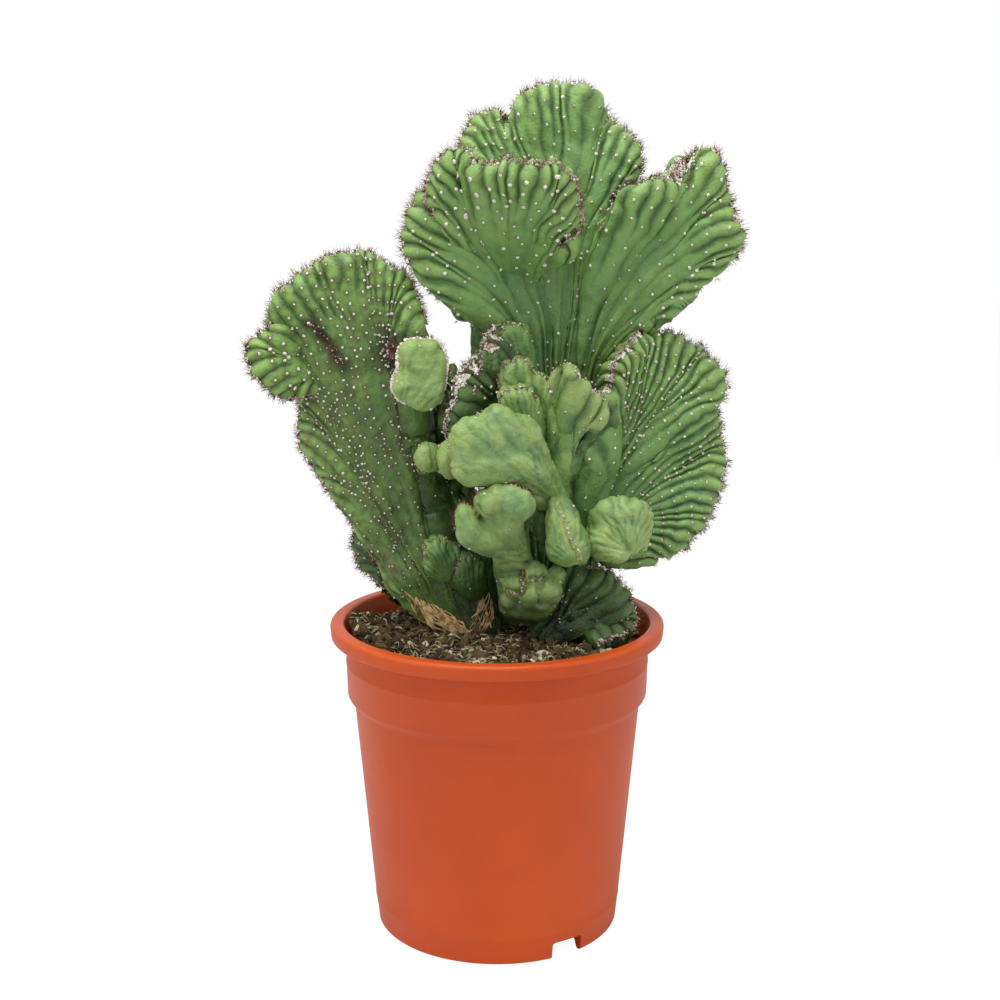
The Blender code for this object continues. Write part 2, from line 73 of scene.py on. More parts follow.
def addNode(tree, kind, inputs=None, stops=None, **settings):
    # inputs maps a socket's name or number to a value, or to the output that feeds it
    node = tree.nodes.new(kind)
    for name, value in settings.items():
        setattr(node, name, value)
    for place, colour in stops or []:
        ramp = node.color_ramp
        index = stops.index((place, colour))
        stop = ramp.elements[index] if index < 2 else ramp.elements.new(place)
        stop.position, stop.color = place, linear(colour)
    for socket, value in (inputs or {}).items():
        if isinstance(value, bpy.types.NodeSocket):
            tree.links.new(value, node.inputs[socket])
        else:
            node.inputs[socket].default_value = value
    return node


def newMaterial(name, **constants):
    # constants go straight onto the shader's own sockets
    material = bpy.data.materials.new(name)
    material.use_nodes = True
    shader = material.node_tree.nodes["Principled BSDF"]
    for socket, value in constants.items():
        shader.inputs[socket.replace("_", " ")].default_value = value
    return material, material.node_tree, shader


def unit(vectors):
    return vectors / np.maximum(np.linalg.norm(vectors, axis=-1, keepdims=True), 1e-9)


def wobble(points, size, seed):
    # a smooth random field of about -1 to 1 that changes over that many millimetres
    chance = np.random.default_rng(seed)
    total = 0.0
    for _ in range(7):
        way = unit(chance.normal(size=3)) * 2 * np.pi / size * chance.uniform(0.55, 1.6)
        total = total + np.sin(points @ way + chance.uniform(0, 2 * np.pi))
    return total / 3


def meshFrom(name, points, faces, fields=None):
    # points in millimetres; fields are float attributes of the points
    mesh = bpy.data.meshes.new(name)
    mesh.from_pydata((np.asarray(points, float) * mm).tolist(), [], faces)
    for field, values in (fields or {}).items():
        data = mesh.attributes.new(field, "FLOAT", "POINT").data
        data.foreach_set("value", np.asarray(values, np.float32).ravel())
    return mesh


def outwards(mesh):
    shell = bmesh.new()
    shell.from_mesh(mesh)
    bmesh.ops.recalc_face_normals(shell, faces=shell.faces)
    shell.to_mesh(mesh)
    shell.free()
    return mesh


def link(name, mesh):
    piece = bpy.data.objects.new(name, mesh)
    bpy.context.scene.collection.objects.link(piece)
    return piece


def settled(piece):
    # the piece with its modifiers turned into a plain mesh
    view = bpy.context.evaluated_depsgraph_get()
    mesh = bpy.data.meshes.new_from_object(piece.evaluated_get(view), depsgraph=view)
    piece.modifiers.clear()
    piece.data = mesh
    mesh.name = piece.name
    return piece


def thinned(piece, triangles):
    mesh = piece.data
    count = sum(len(face.vertices) - 2 for face in mesh.polygons)
    if count > triangles:
        modifier = piece.modifiers.new("thin", "DECIMATE")
        modifier.ratio = triangles / count
        settled(piece)
    piece.data.shade_smooth()
    return piece


def farFrom(points, lines):
    # how far each point is from the nearest sample of the lines
    tree = KDTree(sum(len(line) for line in lines))
    for index, spot in enumerate(np.vstack(lines)):
        tree.insert(Vector(spot), index)
    tree.balance()
    return np.array([tree.find(Vector(point))[2] for point in points])


def onBody(piece, slot, *nodes):
    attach(piece, "root")
    if nodes:
        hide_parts(*nodes)
    return piece


# camera, floor and light
studio = {
    "cameraPlace": (0.0015, -0.792, 0.383),
    "cameraTilt": 11.5,  # degrees below level
    "lens": 57.67,
    "ambient": 0.25,
    "floorColour": "#f4f4f4",
    "floorGlow": 1.12,  # how bright the floor is where the camera looks, and what share of it that makes up
    "floorShare": 0.86,
    "aim": (0, 0, 0.22),  # where the softboxes point
    "boxes": {  # softboxes: place, size in metres, watts
        "topBox": ((-0.15, -0.30, 1.35), 1.0, 14.2),
        "leftBox": ((-1.2, -0.75, 0.75), 1.1, 4.7),
        "rightBox": ((1.25, -0.65, 0.65), 1.1, 4.9),
    },
}


def setStudio():
    camera = bpy.data.objects.new("camera", bpy.data.cameras.new("camera"))
    bpy.context.scene.collection.objects.link(camera)
    camera.location = studio["cameraPlace"]
    camera.rotation_euler = (math.radians(90 - studio["cameraTilt"]), 0, 0)
    camera.data.lens = studio["lens"]
    camera.data.sensor_width = 36
    bpy.context.scene.camera = camera
    bpy.context.scene.view_settings.view_transform = "Standard"

    world = bpy.data.worlds.new("studioAir")
    world.use_nodes = True
    bpy.context.scene.world = world
    tree = world.node_tree
    tree.nodes.clear()
    path = addNode(tree, "ShaderNodeLightPath")
    seen = addNode(
        tree, "ShaderNodeMath", {0: path.outputs["Is Camera Ray"], 1: path.outputs["Is Glossy Ray"]},
        operation="MAXIMUM",
    )
    seen = addNode(
        tree, "ShaderNodeMath", {0: seen.outputs[0], 1: path.outputs["Is Transmission Ray"]},
        operation="MAXIMUM",
    )
    glow = addNode(tree, "ShaderNodeBackground", {"Color": (1, 1, 1, 1), "Strength": studio["ambient"]})
    white = addNode(tree, "ShaderNodeBackground", {"Color": (1, 1, 1, 1), "Strength": 1.0})
    mix = addNode(tree, "ShaderNodeMixShader", {0: seen.outputs[0], 1: glow.outputs[0], 2: white.outputs[0]})
    addNode(tree, "ShaderNodeOutputWorld", {"Surface": mix.outputs[0]})

    corners = [(4000 * x, 4000 * y, 0) for x, y in ((-1, -1), (1, -1), (1, 1), (-1, 1))]
    floor = link("floor", meshFrom("floor", corners, [(0, 1, 2, 3)]))
    material, tree, shader = newMaterial("paperFloor", Roughness=1.0)
    shader.inputs["Specular IOR Level"].default_value = 0.0
    shader.inputs["Base Color"].default_value = linear(studio["floorColour"])
    path = addNode(tree, "ShaderNodeLightPath")
    glow = addNode(tree, "ShaderNodeEmission", {"Color": (1, 1, 1, 1), "Strength": studio["floorGlow"]})
    part = addNode(
        tree, "ShaderNodeMath", {0: path.outputs["Is Camera Ray"], 1: studio["floorShare"]},
        operation="MULTIPLY",
    )
    mix = addNode(tree, "ShaderNodeMixShader", {0: part.outputs[0], 1: shader.outputs[0], 2: glow.outputs[0]})
    tree.links.new(mix.outputs[0], tree.nodes["Material Output"].inputs["Surface"])
    floor.data.materials.append(material)

    for name, (place, size, power) in studio["boxes"].items():
        lamp = bpy.data.objects.new(name, bpy.data.lights.new(name, "AREA"))
        bpy.context.scene.collection.objects.link(lamp)
        lamp.data.size, lamp.data.energy = size, power
        lamp.location = place
        lamp.rotation_mode = "QUATERNION"
        lamp.rotation_quaternion = (Vector(studio["aim"]) - Vector(place)).to_track_quat("-Z", "Y")


setStudio()
print("camera, floor and light set")

# the pot
potLow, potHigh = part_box("pot")
pot = {
    "height": (potHigh.z - potLow.z) / mm,
    "rimRadius": (potHigh.x - potLow.x) / 2 / mm,
    "rimBand": 7.6,
    "rimLip": 7.0,
    "collarTop": 77.6,
    "collarFoot": 76.7,
    "collarHeight": 123.0,
    "bodyTopHeight": 119.0,
    "bodyTop": 73.3,
    "base": 62.6,
    "wall": 1.6,
    "floor": 9.2,
    "floorThickness": 1.8,
    "centreHole": 6.0,
    "notchWidth": 17.5,
    "notchCorner": 1.575,
    "notchCount": 3,
    "notchBearing": -56.0,
    "sides": 240,
    "rings": (140.0, 14.0),  # heights of the faint moulding rings
}


def arc(centre, radius, start, end, count):
    angles = np.radians(np.linspace(start, end, count))
    return [(centre[0] + radius * math.cos(a), centre[1] + radius * math.sin(a)) for a in angles]


def ringMark(radiusAt, height):
    # a faint step that the mould leaves round the wall: how far up or down and how far out its points are
    steps = ((-0.7, 0.0), (-0.25, 0.16), (0.25, 0.16), (0.7, 0.0))
    return [(radiusAt(height if out else height + up) + out, height + up) for up, out in steps]


def potSection():
    p = pot
    rimFoot = p["height"] - p["rimBand"]
    floorTop = p["floor"] + p["floorThickness"]

    def bodyAt(z):
        return p["base"] + (p["bodyTop"] - p["base"]) * z / p["bodyTopHeight"]

    def collarAt(z):
        share = (z - p["collarHeight"]) / (rimFoot - p["collarHeight"])
        return p["collarFoot"] + (p["collarTop"] - p["collarFoot"]) * share

    outside = [(p["base"] - 2.0, 0.0), *arc((p["base"] - 1.6, 1.6), 1.6, -70, 0, 6)]
    outside += ringMark(bodyAt, p["rings"][1])
    outside += [(bodyAt(z), z) for z in np.linspace(22, p["bodyTopHeight"] - 1.5, 9)]
    outside += [
        (p["bodyTop"] + 0.15, p["bodyTopHeight"]), (p["bodyTop"] + 1.3, p["bodyTopHeight"] + 1.6),
        (p["collarFoot"] - 0.5, p["collarHeight"] - 0.9),
    ]
    outside += [(p["collarFoot"], p["collarHeight"] + 0.2), *ringMark(collarAt, p["rings"][0])]
    outside += [
        (p["collarTop"] - 0.1, rimFoot - 1.0), (p["collarTop"] + 0.6, rimFoot - 0.1),
        (p["rimRadius"] - 1.4, rimFoot),
    ]
    outside += arc((p["rimRadius"] - 1.3, rimFoot + 0.9), 0.9, -70, 0, 4)
    rim = arc((p["rimRadius"] - 2.2, p["height"] - 2.2), 2.2, 0, 90, 8)
    rim += arc((p["rimRadius"] - p["rimLip"] + 1.2, p["height"] - 1.4), 1.4, 90, 180, 6)
    inside = [
        (p["collarTop"] - p["wall"], rimFoot),
        (p["collarFoot"] - p["wall"], p["collarHeight"]),
        (p["bodyTop"] - p["wall"], p["bodyTopHeight"]),
        (p["base"] + 0.4 - p["wall"], floorTop + 3.0),
        (p["base"] - 2.6 - p["wall"], floorTop),
        (p["centreHole"], floorTop),
        (p["centreHole"], p["floor"]),
        (p["base"] - 7.5, p["floor"]),
        (p["base"] - 3.4, 0.4),
        (p["base"] - 3.0, 0.0),
    ]
    return outside + rim + inside


def makePot():
    section = potSection()
    count, sides = len(section), pot["sides"]
    turn = np.linspace(0, 2 * np.pi, sides, endpoint=False)
    points = np.array([(r * math.cos(a), r * math.sin(a), z) for a in turn for r, z in section])
    faces = []
    for side in range(sides):
        here, there = side * count, (side + 1) % sides * count
        faces += [
            (here + i, there + i, there + (i + 1) % count, here + (i + 1) % count) for i in range(count)
        ]
    piece = link("nurseryPot", outwards(meshFrom("nurseryPot", points, faces)))
    # a drain notch is a slot in the foot with two rounded upper corners, cut by a block of that outline
    top, half, corner = pot["floor"] - 0.4, pot["notchWidth"] / 2, pot["notchCorner"]
    outline = [(-half, -2.0), (half, -2.0), *arc((half - corner, top - corner), corner, 0, 90, 4)]
    outline += arc((corner - half, top - corner), corner, 90, 180, 4)
    n = len(outline)
    for index in range(pot["notchCount"]):
        bearing = math.radians(pot["notchBearing"] + index * 360 / pot["notchCount"])
        cos, sin = math.cos(bearing), math.sin(bearing)
        block = []
        for out in (pot["base"] - 6.5, pot["base"] + 3.5):
            block += [(out * cos - side * sin, out * sin + side * cos, up) for side, up in outline]
        blockFaces = [tuple(range(n)), tuple(range(2 * n - 1, n - 1, -1))]
        blockFaces += [(i, (i + 1) % n, n + (i + 1) % n, n + i) for i in range(n)]
        cutter = link("notchCutter", outwards(meshFrom("notchCutter", block, blockFaces)))
        cut = piece.modifiers.new("notch", "BOOLEAN")
        cut.operation, cut.solver, cut.object = "DIFFERENCE", "EXACT", cutter
        settled(piece)
        bpy.data.objects.remove(cutter)
    piece.data.shade_smooth()
    piece.data.set_sharp_from_angle(angle=math.radians(32))
    return piece


def makePlastic():
    # injection-moulded polypropylene: an even terracotta pigment and a satin skin with a few faint scuffs
    material, tree, shader = newMaterial("mouldedPolypropylene", IOR=1.49, Specular_IOR_Level=0.38)
    place = addNode(tree, "ShaderNodeTexCoord").outputs["Object"]
    cloud = addNode(
        tree, "ShaderNodeTexNoise", {"Vector": place, "Scale": 1 / 0.09, "Detail": 3.0, "Roughness": 0.5},
    )
    tone = addNode(
        tree, "ShaderNodeValToRGB", {0: cloud.outputs["Fac"]}, stops=[(0.35, "#c7490b"), (0.65, "#d3530f")],
    )
    stretched = addNode(
        tree, "ShaderNodeMapping", {"Vector": place, "Rotation": (0.3, 0.5, 0.9), "Scale": (1.0, 1.0, 6.0)},
    )
    scuff = addNode(
        tree, "ShaderNodeTexNoise",
        {"Vector": stretched.outputs[0], "Scale": 1 / 0.011, "Detail": 6.0, "Roughness": 0.7},
    )
    marks = addNode(
        tree, "ShaderNodeMapRange", {"Value": scuff.outputs["Fac"], "From Min": 0.63, "From Max": 0.76},
    )
    patch = addNode(tree, "ShaderNodeTexNoise", {"Vector": place, "Scale": 1 / 0.05, "Detail": 1.0})
    where = addNode(
        tree, "ShaderNodeMapRange", {"Value": patch.outputs["Fac"], "From Min": 0.5, "From Max": 0.7},
    )
    rub = addNode(tree, "ShaderNodeMath", {0: marks.outputs[0], 1: where.outputs[0]}, operation="MULTIPLY")
    faint = addNode(tree, "ShaderNodeMath", {0: rub.outputs[0], 1: 0.4}, operation="MULTIPLY")
    colour = addNode(
        tree, "ShaderNodeMix", {"Factor": faint.outputs[0], 6: tone.outputs[0], 7: linear("#d97a45")},
        data_type="RGBA",
    )
    tree.links.new(colour.outputs[2], shader.inputs["Base Color"])
    rough = addNode(
        tree, "ShaderNodeMapRange", {"Value": scuff.outputs["Fac"], "To Min": 0.34, "To Max": 0.5},
    )
    tree.links.new(rough.outputs[0], shader.inputs["Roughness"])
    grain = addNode(tree, "ShaderNodeTexNoise", {"Vector": place, "Scale": 1 / 0.0016, "Detail": 2.0})
    bump = addNode(
        tree, "ShaderNodeBump", {"Strength": 0.06, "Distance": 0.0002, "Height": grain.outputs["Fac"]},
    )
    tree.links.new(bump.outputs[0], shader.inputs["Normal"])
    return material


potPiece = makePot()
potPiece.data.materials.clear()
potPiece.data.materials.append(makePlastic())
onBody(potPiece, "pot_plastic", "pot")
print("pot made:", len(potPiece.data.polygons), "faces")

# Each crest: the cross lines of its stem from the foot up, the way it rises from the last of them, its crest
# line from the left side over the top to the right side, and its thickness at foot, middle and crest line.
# node is the CAD node that carries a sheet without one of its own. Points are millimetres from the middle of
# the underside of the CAD node's box.
stems = {
    "left_crest": {
        "stem": [((33, 5, 0), (63, 7, 0)), ((27, 5, 14), (60, 7, 13))],
        "rise": (-0.42, 0.0, 0.9),
        "crest": [
            (4, 8, 38), (-8, 5, 60), (-19, 2, 80), (-31, 0, 97), (-39, -1, 112), (-42, 1, 126), (-42, 4, 138),
            (-45, 6, 150), (-51, 6, 161), (-55, 4, 172), (-55, 1, 182), (-50, -2, 190), (-41, -4, 199),
            (-24, -4, 208), (-9, 1, 210), (7, 2, 202),
            (17, -4, 191), (21, -4, 177), (14, 4, 168), (4, 10, 160), (6, 9, 152), (15, 0, 140),
            (22, -5, 119), (29, 5, 106), (42, 11, 92), (50, 12, 74), (55, 10, 38),
        ],
        "bends": {
            1: (10, 6, 54), 3: (-12, 4, 90), 5: (-20, 4, 117), 7: (-22, 4, 134), 9: (-26, 2, 150),
            11: (-24, -1, 166), 13: (-12, -3, 176), 15: (0, -1, 176), 17: (2, -3, 160), 19: (-2, 2, 148),
            21: (4, 0, 124), 23: (18, 5, 98), 25: (34, 10, 76),
        },
        "thick": (34, 22, 15),
    },
    "left_lobe": {
        "node": "left_crest",
        "stem": [((-15, 13, 142), (-27, 13, 168))],
        "rise": (-0.95, -0.5, 0.15),
        "crest": [
            (-27, 3, 141), (-34, -4, 139), (-42, -9, 139), (-50, -13, 141), (-57, -16, 147), (-62, -17, 155),
            (-62, -16, 164), (-58, -12, 171), (-52, -6, 176), (-45, 0, 179), (-38, 6, 180),
        ],
        "thick": (6, 15, 14),
    },
    "upper_crest": {
        "stem": [((-42, 28, 1), (8, 28, 1)), ((-34, 25, 70), (13, 25, 70)), ((-21, 16, 133), (12, 17, 137))],
        "rise": (0.03, 0.0, 1.0),
        "crest": [
            (-50, 10, 185), (-64, 4, 188), (-75, -4, 198), (-82, -8, 212), (-81, -8, 227), (-74, -5, 240),
            (-66, 2, 247), (-58, 12, 254), (-54, 20, 266),
            (-48, 26, 276), (-36, 30, 279), (-31, 24, 272), (-26, 22, 285), (-12, 24, 290), (5, 26, 290),
            (17, 31, 277), (30, 23, 265), (34, 18, 252), (31, 20, 240), (24, 24, 230), (23, 6, 229),
            (30, -6, 241), (38, -8, 246), (48, -4, 246), (54, 6, 253), (62, 6, 261), (71, 0, 254),
            (75, -1, 236), (81, -1, 222), (81, 1, 211), (72, 4, 203), (61, 6, 193), (50, 8, 190),
            (42, 10, 186),
        ],
        "bends": {
            0: (-24, 12, 180), 2: (-46, 6, 190), 4: (-50, 2, 218), 6: (-40, 6, 222), 8: (-30, 12, 232),
            11: (-20, 16, 240), 13: (-8, 16, 250), 16: (8, 16, 236), 19: (12, 16, 214), 20: (14, 8, 210),
            22: (24, 2, 214), 24: (36, 4, 222), 27: (52, 4, 220), 29: (56, 4, 206), 31: (44, 8, 188),
        },
        "thick": (36, 20, 14),
    },
    "front_lobe": {
        "node": "upper_crest",
        "stem": [((-46, 13, 196), (-14, 13, 194))],
        "rise": (-0.15, -0.75, 0.75),
        "crest": [
            (-65, -8, 220), (-69, -13, 232), (-69, -17, 244), (-65, -20, 253), (-59, -22, 258),
            (-53, -25, 257), (-47, -29, 252), (-40, -32, 253), (-33, -35, 254), (-24, -37, 253),
            (-14, -37, 253), (-5, -35, 249), (0, -29, 241), (2, -22, 231), (0, -16, 222), (-7, -10, 213),
        ],
        "thick": (6, 15, 14),
    },
    "right_crest": {
        "stem": [((-39, 2, 1), (-18, 4, 1)), ((-41, -4, 60), (-25, 0, 55))],
        "rise": (0.35, 0.0, 0.9),
        "crest": [
            (-23, 2, 114), (-21, -7, 129), (-18, -12, 145), (-13, -11, 160), (-3, -1, 170), (12, 8, 171),
            (26, 10, 164), (36, 7, 156), (41, 3, 146), (40, 3, 138), (37, 5, 132), (40, 7, 124),
            (41, 6, 113), (42, 3, 105), (39, -1, 91), (33, -3, 76), (20, -5, 62), (7, -1, 57), (-6, 6, 63),
            (-16, 9, 68),
        ],
        "thick": (30, 20, 13),
    },
    "centre_fan": {
        "stem": [((-12, 6, 8), (0, 8, 8)), ((-11, 0, 34), (-4, 1, 34))],
        "rise": (0.02, -0.15, 1.0),
        "crest": [
            (-13, 6, 56), (-12, 3, 66), (-12, 1, 76), (-13, -1, 85), (-10, -5, 93), (-6, -9, 96),
            (-3, -15, 94), (0, -16, 90), (4, -12, 87), (7, -10, 83), (11, -8, 80), (14, -6, 76),
            (13, -4, 71), (11, 0, 68), (11, 2, 63), (10, 4, 58),
        ],
        "thick": (15, 10, 8),
    },
    "base_fan": {
        "stem": [((-29, 10, 2), (-9, 6, 2)), ((-28, 8, 10), (-7, 4, 10))],
        "rise": (0.4, -0.1, 0.8),
        "crest": [
            (-17, 2, 48), (-9, 0, 56), (4, -2, 56), (16, -1, 52), (20, 2, 47), (17, 6, 42), (24, -1, 41),
            (28, -4, 32), (23, -10, 25), (8, -20, 21),
        ],
        "thick": (26, 24, 14),
    },
    "edge_crest": {
        "stem": [((22, 15, 37), (18, 17, -1))],
        "rise": (-1.0, -0.5, 0.2),
        "crest": [
            (5, 3, 74), (-1, -7, 66), (-7, -15, 59), (-15, -21, 48), (-20, -22, 37), (-23, -19, 25),
            (-21, -12, 13),
        ],
        "thick": (22, 22, 13),
    },
    "rear_lobe": {
        "stem": [((10, -4, 3), (22, -3, 0))],
        "rise": (-0.5, 0.2, 0.8),
        "crest": [
            (-3, -2, 13), (-15, 1, 24), (-21, 3, 37), (-17, 4, 46), (-5, 1, 42),
        ],
        "thick": (16, 14, 11),
    },
}

# How each one is finished: grid is columns by rows, faces the triangles it keeps, rib the groove spacing and
# depth at its edge, areole the spacing at the edge and low down, spine the length of its spines, wool the
# size of a tuft.
common = {
    "grid": (200, 60),
    "faces": 6000,
    "rib": (6.5, 1.3),
    "drift": ((0.2, 30), (0.08, 10)),  # how far the ribs stray, in ribs, over how many millimetres
    "ribReach": 24.0,  # how far down from the edge the ribs stay deep
    "lowDepth": 0.2,  # what share of the depth is left below that
    "mergeTo": 9.0,  # groove spacing that the ribs merge towards
    "areole": (6.5, 10.0),
    "keepOff": (2.5, 2.0),  # how far areoles keep from the crest line and from the sides
    "ruffle": (1.3, 29.0),  # height and length of small waves in the edge
    "swells": 1.3,  # height of the broad swells of the sheet
    "folds": 0.5,  # height of the folds that draw together towards the stem
    "mound": 0.55,  # how far the skin rises round an areole
    "spine": 4.0,
    "wool": 1.1,
    "edgeWool": 3.4,  # tufts per millimetre of crest line
    "edgeSpines": 4.5,  # spines per millimetre of crest line
    "tuft": 0.85,  # size of the tufts in the seam, and how far they stray from it
    "seam": 0.6,
    "areoleSpines": 1.0,  # share of areoles that bear spines
    "sparse": (400, 500),  # between these distances from the edge areoles thin out to a quarter
    "whiteEdge": False,
    "cork": [],  # corky places: x, y, z and radius in the shared frame
    "bare": [],  # places almost without areoles, in the same way
    "dusk": [],  # places darkened with painted shade, in the same way
    "skin": "old",
    "seed": 1,
}
finishes = {
    "left_crest": {
        "grid": (900, 150), "faces": 83000, "areole": (6.0, 4.6), "wool": 0.8, "ribReach": 17.0,
        "skin": "left", "rib": (6.0, 1.8), "seed": 3, "mergeTo": 4.8, "lowDepth": 0.26, "mound": 0.75,
        "folds": 0.7,
        "dusk": [
            (-7, -6, 174, 24.0), (-20, 0, 200, 18.0), (-27, 12, 218, 26.0), (-50, -10, 298, 11.0),
            (-90, -12, 312, 4.0), (-86, -12, 307, 4.5), (-82, -12, 302, 4.5), (-78, -12, 296, 4.5),
            (-75, -12, 291, 4.0),
        ],
        "sparse": (95, 175),
        "cork": [
            (-55, -8, 194, 2.6), (-53, -8, 190, 2.6), (-51, -8, 187, 2.2), (-112, -8, 315, 3.0),
            (-36, -12, 160, 9.0), (-24, -16, 156, 8.0), (-3, -12, 162, 5.0),
        ],
        "bare": [(-16, -8, 196, 34.0), (-36, -12, 166, 22.0), (-2, -8, 170, 26.0)],
    },
    "left_lobe": {
        "grid": (320, 70), "faces": 17000, "areole": (6.5, 7.5), "wool": 1.1, "ribReach": 15.0,
        "skin": "left", "rib": (7.0, 1.7), "seed": 4,
    },
    "upper_crest": {
        "grid": (1050, 150), "faces": 96000, "areole": (7.5, 13.0), "wool": 0.95, "rib": (6.5, 2.1),
        "ribReach": 26.0, "seed": 5, "mergeTo": 9.5, "lowDepth": 0.45, "folds": 1.2,
        "dusk": [(57, 0, 353, 6.0), (58, 4, 361, 6.0), (61, 8, 371, 6.0), (-20, 16, 318, 5.0)],
    },
    "front_lobe": {
        "grid": (620, 80), "faces": 38000, "areole": (7.5, 9.0), "rib": (6.5, 2.1), "ribReach": 22.0,
        "seed": 6,
    },
    "right_crest": {
        "grid": (800, 130), "faces": 71000, "areole": (6.0, 6.5), "wool": 0.8, "rib": (6.0, 1.9),
        "ribReach": 26.0, "lowDepth": 0.62, "folds": 1.1, "seed": 8, "mergeTo": 3.4,
        "dusk": [(50, -10, 262, 9.0)],
    },
    "centre_fan": {
        "grid": (340, 80), "faces": 17000, "seed": 12, "skin": "fresh", "rib": (11.0, 1.6), "ribReach": 70.0,
        "mergeTo": 14.0, "areole": (9.0, 14.0), "edgeWool": 1.6, "edgeSpines": 1.5, "wool": 0.7,
    },
    "base_fan": {
        "grid": (330, 80), "faces": 16000, "seed": 11, "skin": "shade", "rib": (6.5, 2.0), "ribReach": 30.0,
        "lowDepth": 0.7, "mergeTo": 8.0, "wool": 0.8, "dusk": [(30, -20, 160, 12.0), (44, -16, 158, 10.0)],
    },
    "edge_crest": {
        "grid": (300, 80), "faces": 12000, "skin": "shade", "seed": 13, "edgeWool": 7.0, "tuft": 0.75,
        "seam": 0.9, "edgeSpines": 5.0, "wool": 0.7, "whiteEdge": True,
    },
    "rear_lobe": {"grid": (240, 60), "skin": "shade", "seed": 23},
}


def smoothLine(points, count):
    # evenly spaced points on a smooth curve through the given ones
    points = np.array(points, float)
    ends = np.vstack([2 * points[0] - points[1], points, 2 * points[-1] - points[-2]])
    dense = []
    for i in range(len(points) - 1):
        a, b, c, d = ends[i : i + 4]
        for t in np.linspace(0, 1, 16, endpoint=False):
            dense.append(
                0.5 * (
                    2 * b + (c - a) * t + (2 * a - 5 * b + 4 * c - d) * t**2 + (3 * b - a - 3 * c + d) * t**3
                ),
            )
    dense = np.array([*dense, points[-1]])
    run = np.concatenate([[0], np.cumsum(np.linalg.norm(np.diff(dense[:, :3], axis=0), axis=1))])
    wanted = np.linspace(0, run[-1], count)
    return np.stack([np.interp(wanted, run, column) for column in dense.T], axis=1)


def crestNumbers(points, count):
    # the number, with a fraction, of the given point that each evenly spaced one is at
    fine = smoothLine(points, 1500)
    run = np.linspace(0, 1, 1500)
    marks = [run[np.argmin(np.linalg.norm(fine - np.array(p, float), axis=1))] for p in points]
    return np.interp(np.linspace(0, 1, count), np.maximum.accumulate(marks), np.arange(len(points)))


def eased(rows, width):
    # rows smoothed over a few neighbours, with the ends held
    padded = np.pad(rows, ((width, width), (0, 0)), mode="edge")
    total = np.cumsum(np.vstack([np.zeros((1, rows.shape[1])), padded]), axis=0)
    return (total[2 * width + 1 :] - total[: -2 * width - 1]) / (2 * width + 1)


def fanSheet(stem, across, along):
    # the middle sheet of a crest: lines that start at the foot, rise with the stem and spread to its edge
    crest = smoothLine(stem["crest"], across)
    place = np.linspace(0, 1, across)[:, None]
    levels = [np.array(left) * (1 - place) + np.array(right) * place for left, right in stem["stem"]]
    rise = unit(np.array(stem["rise"], float))
    rows = []
    for lower, upper in zip(levels[:-1], levels[1:]):
        part = max(3, round(along * 0.2))
        rows += [lower + (upper - lower) * k / part for k in range(part)]
    start = levels[-1]
    chord = crest - start
    reach = np.linalg.norm(chord, axis=1, keepdims=True)
    leave = start + rise * reach / 3
    tangent = unit(np.gradient(eased(crest, across // 24), axis=0))
    square = unit(eased(chord - np.sum(chord * tangent, axis=1, keepdims=True) * tangent, across // 24))
    nearSide = np.minimum(place, 1 - place)
    turn = 0.6 * np.clip(nearSide / 0.15, 0, 1)
    arrive = crest - unit(turn * square + (1 - turn) * unit(chord)) * reach / 3
    if "bends" in stem:
        # some lines come round a fold: bends maps a crest point's number to where its line bends
        numbers = np.array(list(stem["bends"]), float)
        corners = np.array(list(stem["bends"].values()), float)
        number = crestNumbers(stem["crest"], across)
        bent = np.stack([np.interp(number, numbers, corners[:, k]) for k in range(3)], axis=1)
        inside = np.clip(np.minimum(number - numbers[0], numbers[-1] - number) + 1, 0, 1)[:, None]
        arrive = eased(arrive * (1 - inside) + bent * inside, across // 60)
    rest = along - len(rows)
    for k in range(rest):
        t = math.sin(math.pi / 2 * k / (rest - 1))
        rows.append(
            (1 - t) ** 3 * start + 3 * t * (1 - t) ** 2 * leave + 3 * t**2 * (1 - t) * arrive + t**3 * crest,
        )
    return np.stack(rows, axis=1)


ribLevels = range(-2, 6)  # how many times the ribs' spacing can double, or halve below 0


def ribField(place, level, seed):
    # 1 on the ribs and 0 in the grooves, and each rib's own tone; pairs of ribs merge into one at each whole
    # level, and below level 0 each rib splits in two
    tones = np.random.default_rng(seed).uniform(-1, 1, 997)
    height, tone = 0.0, 0.0
    for n in ribLevels:
        weight = np.clip(1 - np.abs(level - n), 0, 1)
        height = height + weight * np.abs(np.sin(np.pi * place / 2.0**n)) ** 0.55
        tone = tone + weight * tones[np.floor(place / 2.0**n).astype(int) % 997]
    return height, tone


def spreadOf(places, points):
    # how much the skin is changed round the given places; each has a radius
    most = np.zeros(len(points))
    for x, y, z, radius in places:
        away = np.linalg.norm(points - (x, y, z), axis=1) + 0.25 * radius * wobble(points, 7, 77)
        most = np.maximum(most, np.clip(1.4 - away / radius, 0, 1))
    return most


